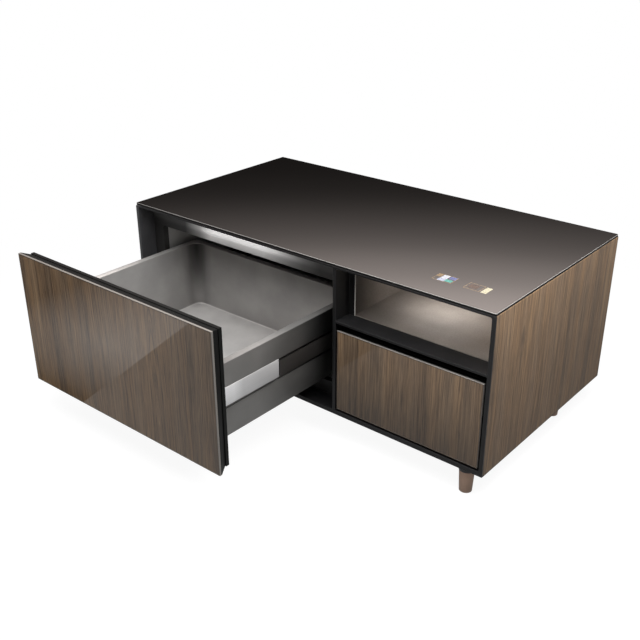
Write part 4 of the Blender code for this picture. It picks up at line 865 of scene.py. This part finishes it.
class TABLE_OT_fridge_front(bpy.types.Operator):
    """Refrigerator drawer front: glazed veneer, trim, frame, plate and gasket"""

    bl_idname = "fridge_table.fridge_front"
    bl_label = "Refrigerator front"

    def execute(self, context):
        black = painted("front_black", srgb(18, 19, 19), 0.5, Specular_IOR_Level=0.12)
        veneer = walnut("walnut_fridge_front", heart=HEARTS["fridge"], glazed=True)
        # Painted light at the left of the refrigerator front, painted shade at its right
        paint_light_and_shade(veneer, "X", FRIDGE_FRONT_PAINTED_LIGHT_X)
        finished("fridge_front_glass", "fridge_front_veneer", veneer)
        rimmed("fridge_front_trim", "fridge_front_rim")
        finished("fridge_front_frame", "fridge_front_moulding", black, "fine_round")
        finished("fridge_back_plate", "fridge_front_plate", black, "fine_round")
        rubber = painted("gasket", srgb(88, 89, 90), 0.6, grain=600)
        finished("door_gasket", "door_gasket_rubber", rubber, "edge_round")
        return {"FINISHED"}


class TABLE_OT_bin(bpy.types.Operator):
    """Refrigerator bin with its shell and rail covers"""

    bl_idname = "fridge_table.bin"
    bl_label = "Refrigerator bin"

    def execute(self, context):
        low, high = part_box("bin_tub")
        grey = self.moulded("bin_grey", (186, 184, 182), grain=700)
        floor = low.z + BIN_FLOOR
        # Painted light on the bin's floor, painted shade up its walls
        paint_light_and_shade(grey, "Z", (*BIN_PAINTED_LIGHT_AND_SHADE_FROM_FLOOR, (high.z - floor, BIN_PAINTED_SHADE_AT_TOP)), floor)
        # Painted shade in the rear left corner of the bin
        corner = Vector((low.x, high.y, high.z)) + Vector(BIN_PAINTED_SHADE_CORNER)
        paint_light_and_shade(grey, corner, BIN_PAINTED_SHADE_ROUND_CORNER, stretch=(1, 1, 0.22))
        # The rim's lighter copy of the bin's grey is painted light; it darkens towards the right and the
        # rear as painted shade
        rim = self.moulded("bin_rim", (222, 219, 216), grain=700)
        paint_light_and_shade(rim, "X", ((low.x + RIM_PAINTED_SHADE_INSET, 1.05), (high.x - RIM_PAINTED_SHADE_INSET, 0.40)))
        paint_light_and_shade(rim, "Y", RIM_PAINTED_SHADE_FROM_FRONT, low.y)
        skirt = self.moulded("bin_skirt", (128, 127, 125), grain=700)
        # Painted shade towards the rear of the skirt
        paint_light_and_shade(skirt, "Y", SKIRT_PAINTED_SHADE_FROM_FRONT, low.y)
        self.tub([grey, skirt, rim])
        shell = self.moulded("bin_shell", (120, 119, 117))
        # Painted shade towards the rear of the lower shell
        paint_light_and_shade(shell, "Y", SHELL_PAINTED_SHADE_FROM_FRONT, low.y)
        finished("bin_base", "bin_lower_shell", shell, "fine_round")
        silver = brushed("silver", srgb(236, 236, 237), 0.38, BRUSHED_Y, metallic=0.35)
        # Painted light at the front of the rail covers, painted shade behind
        paint_light_and_shade(silver, "Y", COVER_PAINTED_LIGHT_AND_SHADE_FROM_FRONT, low.y)
        for side in SIDES:
            finished("rail_cover_" + side, "rail_cover_silver_" + side, silver, "edge_round", 3)
        return {"FINISHED"}

    def moulded(self, name, colour, **options):
        """The bin's satin grey, in one of its tones; the rim's lighter tone is painted light."""
        return painted(name, srgb(*colour), 0.36, metallic=0.3, **options)

    def tub(self, finishes):
        """The bin as one moulded shell: floor, walls, rim and the skirt over the side channels."""
        low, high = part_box("bin_tub")
        left, right = low.x + BIN_CHANNEL, high.x - BIN_CHANNEL
        rear = high.y - BIN_BACK
        inner = (left + BIN_WALL, right - BIN_WALL, low.y + BIN_WALL, rear)
        body = (left, right, low.y, rear + BIN_WALL)
        rim = (low.x, high.x, low.y, high.y)
        floor, under = low.z + BIN_FLOOR, high.z - BIN_WALL
        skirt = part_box("rail_cover_right")[1].z + COVER_GAP
        rings = []
        for out, up in arc(4):
            inset = BIN_FILLET * (1 - out)
            rings.append((inner, inset, BIN_CORNER - inset, floor + BIN_FILLET * (1 - up)))
        for out, up in arc(3):
            inset = -BIN_SOFT * (1 - up)
            rings.append((inner, inset, BIN_CORNER - inset, high.z - BIN_SOFT * (1 - out)))
        for out, up in arc(3):
            inset = BIN_SOFT * (1 - out)
            rings.append((rim, inset, RIM_CORNER - inset, high.z - BIN_SOFT * (1 - up)))
        rings += [
            (rim, 0, RIM_CORNER, skirt + RIM_TIP),
            (rim, RIM_TIP, RIM_CORNER - RIM_TIP, skirt),
            (rim, BIN_WALL, RIM_CORNER - BIN_WALL, skirt),
            (rim, BIN_WALL, RIM_CORNER - BIN_WALL, under),
            (body, -BODY_LAP, BODY_CORNER, under),
            (body, 0, BODY_CORNER, low.z + BODY_TIP),
            (body, BODY_TIP, BODY_CORNER - BODY_TIP, low.z),
        ]
        bm = bmesh.new()
        loops = [self.ring(bm, *place) for place in rings]
        bm.faces.new(loops[0])
        bm.faces.new(loops[-1])
        for one, other in zip(loops, loops[1:]):
            for index in range(len(one)):
                bm.faces.new((one[index - 1], one[index], other[index], other[index - 1]))
        bmesh.ops.recalc_face_normals(bm, faces=bm.faces)
        middle = (low.x + high.x) / 2
        for face in bm.faces:
            centre = face.calc_center_median()
            outward = face.normal.x * (centre.x - middle) > 0 and abs(face.normal.x) > SIDEWAYS
            outward = outward or face.normal.y > SIDEWAYS or face.normal.z < -SIDEWAYS
            # Top faces take the rim's painted light, outward faces the skirt, and the rest the bin's grey
            face.material_index = 2 if centre.z > high.z - RIM_EDGE else int(outward)
        made = shaped("bin_tub_shell", bm, finishes, "fridge_drawer", slot_of("bin_tub"), "bin_tub")
        calm(made)

    def ring(self, bm, sides, inset, radius, height, steps=14):
        """A level loop with round corners at the rear, and at the front of the hollow."""
        left, right, front, rear = sides
        left, right, front, rear = left + inset, right - inset, front + max(inset, 0), rear - inset
        before = radius if radius > BIN_ROUND_FROM else BIN_FRONT_CORNER
        corners = (
            (right - radius, rear - radius, radius),
            (left + radius, rear - radius, radius),
            (left + before, front + before, before),
            (right - before, front + before, before),
        )
        verts = []
        for corner, (x, y, size) in enumerate(corners):
            for step in range(steps + 1):
                turn = QUARTER * (corner + step / steps)
                verts.append(bm.verts.new((x + size * math.cos(turn), y + size * math.sin(turn), height)))
        return verts


class TABLE_OT_slides(bpy.types.Operator):
    """Telescopic slides"""

    bl_idname = "fridge_table.slides"
    bl_label = "Slides"

    def execute(self, context):
        steel = brushed("slide_steel", srgb(72, 69, 67), 0.4, BRUSHED_Y, metallic=0.5)
        for side in SIDES:
            for drawer in ("fridge", "small"):
                for member in ("cabinet", "middle", "drawer"):
                    name = drawer + "_slide_" + member + "_" + side
                    finished(name, name + "_steel", steel, "fine_round")
            dressed(steel, "fridge_slide_bracket_" + side)
        return {"FINISHED"}


class TABLE_OT_niche(bpy.types.Operator):
    """Open lit niche"""

    bl_idname = "fridge_table.niche"
    bl_label = "Niche"

    def execute(self, context):
        low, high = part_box("niche_liner")
        beige = painted("niche_beige", srgb(163, 153, 144), 0.6, grain=330, depth=0.00012, speckle=0.16)
        # Painted shade at the niche's front, painted light at its rear
        paint_light_and_shade(beige, "Y", NICHE_PAINTED_SHADE_Y)
        # Painted light at the niche's left edge, painted shade beside the left wall
        paint_light_and_shade(beige, "X", NICHE_PAINTED_LIGHT_AND_SHADE_FROM_LEFT, low.x)
        # Painted shade round the front of the niche
        front = (low.x, low.y, (low.z + high.z) / 2)
        paint_light_and_shade(beige, front, NICHE_PAINTED_SHADE_ROUND_FRONT, stretch=(1, 1, 0.3))
        finished("niche_liner", "niche_lining", beige, "fine_round")
        glow = lamp_glow("light", (1.0, 0.90, 0.80), 6.0)
        finished("niche_light", "niche_lamp_strip", glow)
        self.strips(low, high)
        return {"FINISHED"}

    def strips(self, low, high):
        """Thin edge strips over the joint between the liner and the frame: pale at the sides and top as
        painted light, darker at the sill as painted shade.
        """
        front, rear, thin = low.y - STRIP_FRONT, low.y - HAIR, STRIP_WIDTH
        left, right, bottom, top = low.x + STRIP_INSET, high.x - STRIP_INSET, low.z, high.z - STRIP_INSET
        bm = bmesh.new()
        add_block(bm, (left, front, bottom), (left + thin, rear, top))
        add_block(bm, (right - thin, front, bottom), (right, rear, top))
        add_block(bm, (left + thin, front, top - thin), (right - thin, rear, top))
        # Pale as painted light along the sides and top
        pale = painted("niche_edge", srgb(238, 234, 229), 0.3, grain=400)
        edged(shaped("niche_edge_strip", bm, pale, "cabinet", "niche_beige"), STRIP_ROUND)
        sill = block((left + thin, front, bottom), (right - thin, rear, bottom + SILL_HEIGHT))
        # Darker as painted shade along the sill
        dull = painted("niche_sill", srgb(118, 112, 106), 0.5, grain=400)
        edged(shaped("niche_sill_strip", sill, dull, "cabinet", "niche_beige"), STRIP_ROUND)


class TABLE_OT_small_drawer(bpy.types.Operator):
    """Small drawer: glazed veneer, trim, frame and box"""

    bl_idname = "fridge_table.small_drawer"
    bl_label = "Small drawer"

    def execute(self, context):
        black = bpy.data.materials["front_black"]
        veneer = walnut("walnut_small_front", 0.0, SMALL_FRONT_SHIFT, HEARTS["small"], True)
        # Painted shade towards the bottom of the small drawer's front
        paint_light_and_shade(veneer, "Z", SMALL_FRONT_PAINTED_SHADE_Z)
        finished("small_front_panel", "small_front_veneer", veneer)
        rimmed("small_front_trim", "small_front_rim")
        finished("small_front_frame", "small_front_moulding", black, "fine_round")
        self.lip()
        grey = painted("box_grey", srgb(88, 88, 89), 0.5)
        finished("small_drawer_box", "small_drawer_tray", grey, "edge_round")
        return {"FINISHED"}

    def lip(self):
        """A grey strip along the upper rear edge of the frame, painted as the highlight that the edge
        catches.
        """
        low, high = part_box("small_front_frame")
        start = (low.x + LIP_END, high.y - LIP_FRONT, high.z - HAIR)
        end = (high.x - LIP_END, high.y - LIP_REAR, high.z + LIP_HEIGHT)
        # Painted highlight along the frame's upper rear edge
        grey = painted("lip_grey", srgb(124, 125, 126), 0.5, grain=500)
        slot = slot_of("small_front_frame")
        shaped("small_front_lip", block(start, end), grey, "small_drawer", slot, smooth=False)


class TABLE_OT_machine(bpy.types.Operator):
    """Cooling machine, fan, board, inlet and the modules under the glass"""

    bl_idname = "fridge_table.machine"
    bl_label = "Machine bay"

    def execute(self, context):
        black = painted("compressor_black", srgb(30, 30, 31), 0.3)
        can = finished("compressor", "compressor_can", black)
        can.data.set_sharp_from_angle(angle=CAN_TURN)
        dressed(brushed("condenser_metal", srgb(190, 190, 190), 0.35, (1500, 1500, 6)), "condenser")
        dressed(painted("fan_black", srgb(34, 34, 35), 0.5), "fan_shroud")
        dressed(painted("fan_grey", srgb(62, 62, 64), 0.4), "fan_rotor")
        dressed(painted("board_green", srgb(34, 92, 58), 0.5), "control_board")
        plastic = painted("inlet_black", srgb(30, 30, 31), 0.5)
        finished("power_inlet", "power_inlet_body", plastic, "fine_round")
        dressed(brushed("copper", srgb(200, 130, 95), 0.3, (300, 300, 300)), "discharge_pipe")
        dressed(painted("module", srgb(40, 40, 42), 0.3), "touch_display", "charging_pad")
        return {"FINISHED"}


class TABLE_OT_stage(bpy.types.Operator):
    """Pale floor, soft light and the camera"""

    bl_idname = "fridge_table.stage"
    bl_label = "Stage"

    def execute(self, context):
        looks = context.scene.stage_looks
        self.floor()
        self.card()
        self.world(looks.sky)
        self.lamps(looks)
        self.camera(looks.lens)
        context.scene.view_settings.view_transform = "Standard"
        return {"FINISHED"}

    def sheet(self, name, points):
        """A flat stage piece, and the nodes of its empty material."""
        bm = bmesh.new()
        bm.faces.new([bm.verts.new(point) for point in points])
        made = added(name, bm)
        finish = bpy.data.materials.new(name)
        finish.use_nodes = True
        finish.node_tree.nodes.clear()
        made.data.materials.append(finish)
        return made, Nodes(finish.node_tree)

    def floor(self):
        """A wide pale floor that keeps the table's soft shadow and turns white far from it."""
        turns = [math.tau * step / FLOOR_STEPS for step in range(FLOOR_STEPS)]
        rim = [(FLOOR_RADIUS * math.cos(turn), FLOOR_RADIUS * math.sin(turn), 0) for turn in turns]
        nodes = self.sheet("floor", rim)[1]
        path, direct = nodes.rays()
        mirrored = nodes.sum(path["Is Glossy Ray"], FLOOR_MIRRORED, "MULTIPLY_ADD", direct)
        diffuse = nodes.node("BsdfDiffuse", {"Color": (FLOOR_GREY,) * 3})
        lift = nodes.node("Emission", {"Strength": nodes.sum(mirrored, FLOOR_LIFT, "MULTIPLY")})
        near = nodes.node("AddShader", {0: diffuse.outputs[0], 1: lift.outputs[0]})
        white = nodes.node("Emission", {"Color": WHITE})
        gone = nodes.node("VectorMath", {0: nodes.coords()}, operation="LENGTH").outputs["Value"]
        far = nodes.sum(nodes.share(gone, *FLOOR_WHITE, "SMOOTHSTEP"), mirrored, "MULTIPLY")
        floor = nodes.either(far, near.outputs[0], white.outputs[0])
        nodes.node("OutputMaterial", {"Surface": floor})

    def card(self):
        """A reflector on the floor at the front left, which the drawer's glass mirrors."""
        made, nodes = self.sheet("reflector", [(x, y, CARD_HEIGHT) for x, y in CARD_CORNERS])
        for kind in ("camera", "diffuse", "shadow", "transmission"):
            setattr(made, "visible_" + kind, False)
        place = nodes.node("SeparateXYZ", {0: nodes.coords()}).outputs
        across, away = nodes.share(place["X"], *CARD_FADE_X), nodes.share(place["Y"], *CARD_FADE_Y)
        fade = nodes.sum(across, away, "MULTIPLY")
        glow = nodes.node("Emission", {"Color": (CARD_GLOW,) * 3, "Strength": fade})
        nodes.node("OutputMaterial", {"Surface": glow.outputs[0]})

    def world(self, sky):
        """Even light all round; mirrors see it darken towards the horizon."""
        world = bpy.data.worlds.new("studio")
        bpy.context.scene.world = world
        world.use_nodes = True
        world.node_tree.nodes.clear()
        nodes = Nodes(world.node_tree)
        path, direct = nodes.rays()
        height = nodes.axis(nodes.node("TexCoord").outputs["Generated"], "Z")
        dimmed = ((place, tuple(grey * part for part in MIRRORED_TINT)) for place, grey in MIRRORED_SKY)
        mirror = {"Color": nodes.ramp(height, *dimmed), "Strength": MIRRORED_STRENGTH}
        even = nodes.node("Background", {"Strength": sky})
        mirrored = nodes.node("Background", mirror)
        white = nodes.node("Background", {"Color": WHITE})
        light = nodes.either(path["Is Glossy Ray"], even.outputs[0], mirrored.outputs[0])
        nodes.node("OutputWorld", {"Surface": nodes.either(direct, light, white.outputs[0])})

    def lamps(self, looks):
        """Soft lamps overhead, over the drawer, at the right, in the niche and before the flange."""
        for name, setting, place, aim, size, mirrored in LAMPS:
            data = bpy.data.lights.new(name, "AREA")
            data.energy = getattr(looks, setting)
            data.shape = "RECTANGLE"
            data.size, data.size_y = size
            made = bpy.data.objects.new(name, data)
            made.location = place
            made.rotation_mode = "QUATERNION"
            made.rotation_quaternion = (Vector(aim) - Vector(place)).to_track_quat("-Z", "Y")
            made.visible_camera = False
            made.visible_glossy = mirrored
            bpy.context.scene.collection.objects.link(made)
        lit = bpy.data.collections.new("lit by the flange lamp")
        lit.objects.link(bpy.data.objects["face_flange_steel"])
        bpy.data.objects["flange_lamp"].light_linking.receiver_collection = lit

    def camera(self, lens):
        """The camera at the photograph's place."""
        data = bpy.data.cameras.new("camera")
        data.lens = lens
        data.sensor_width = SENSOR_WIDTH
        data.clip_end = VIEW_END
        made = bpy.data.objects.new("camera", data)
        ahead = Vector(CAMERA_AHEAD).normalized()
        level = ahead.cross(Vector((0, 0, 1))).normalized()
        right = Matrix.Rotation(CAMERA_ROLL, 3, ahead) @ level
        turn = Matrix((right, right.cross(ahead), -ahead)).transposed()
        made.matrix_world = Matrix.Translation(CAMERA_PLACE) @ turn.to_4x4()
        bpy.context.scene.collection.objects.link(made)
        bpy.context.scene.camera = made


OPERATORS = (
    TABLE_OT_glass_top,
    TABLE_OT_casing,
    TABLE_OT_feet,
    TABLE_OT_cavity,
    TABLE_OT_fridge_front,
    TABLE_OT_bin,
    TABLE_OT_slides,
    TABLE_OT_niche,
    TABLE_OT_small_drawer,
    TABLE_OT_machine,
    TABLE_OT_stage,
)


class TABLE_PT_looks(bpy.types.Panel):
    """Settings and steps of the table's looks"""

    bl_idname = "TABLE_PT_looks"
    bl_label = "Table"
    bl_space_type = "VIEW_3D"
    bl_region_type = "UI"
    bl_category = "Table"

    def draw(self, context):
        for group in (context.scene.table_looks, context.scene.stage_looks):
            column = self.layout.column()
            for name in group.bl_rna.properties.keys():
                if name not in {"rna_type", "name"}:
                    column.prop(group, name)
        for step in OPERATORS:
            self.layout.operator(step.bl_idname)


CLASSES = (TableLooks, StageLooks, *OPERATORS, TABLE_PT_looks)


def register():
    """Add the classes and the settings."""
    for one in CLASSES:
        bpy.utils.register_class(one)
    bpy.types.Scene.table_looks = PointerProperty(type=TableLooks)
    bpy.types.Scene.stage_looks = PointerProperty(type=StageLooks)


def unregister():
    """Remove the settings and the classes."""
    del bpy.types.Scene.table_looks
    del bpy.types.Scene.stage_looks
    for one in reversed(CLASSES):
        bpy.utils.unregister_class(one)


def main():
    """Dress the whole table."""
    register()
    for step in OPERATORS:
        group, name = step.bl_idname.split(".")
        getattr(getattr(bpy.ops, group), name)()


if __name__ == "__main__":
    main()
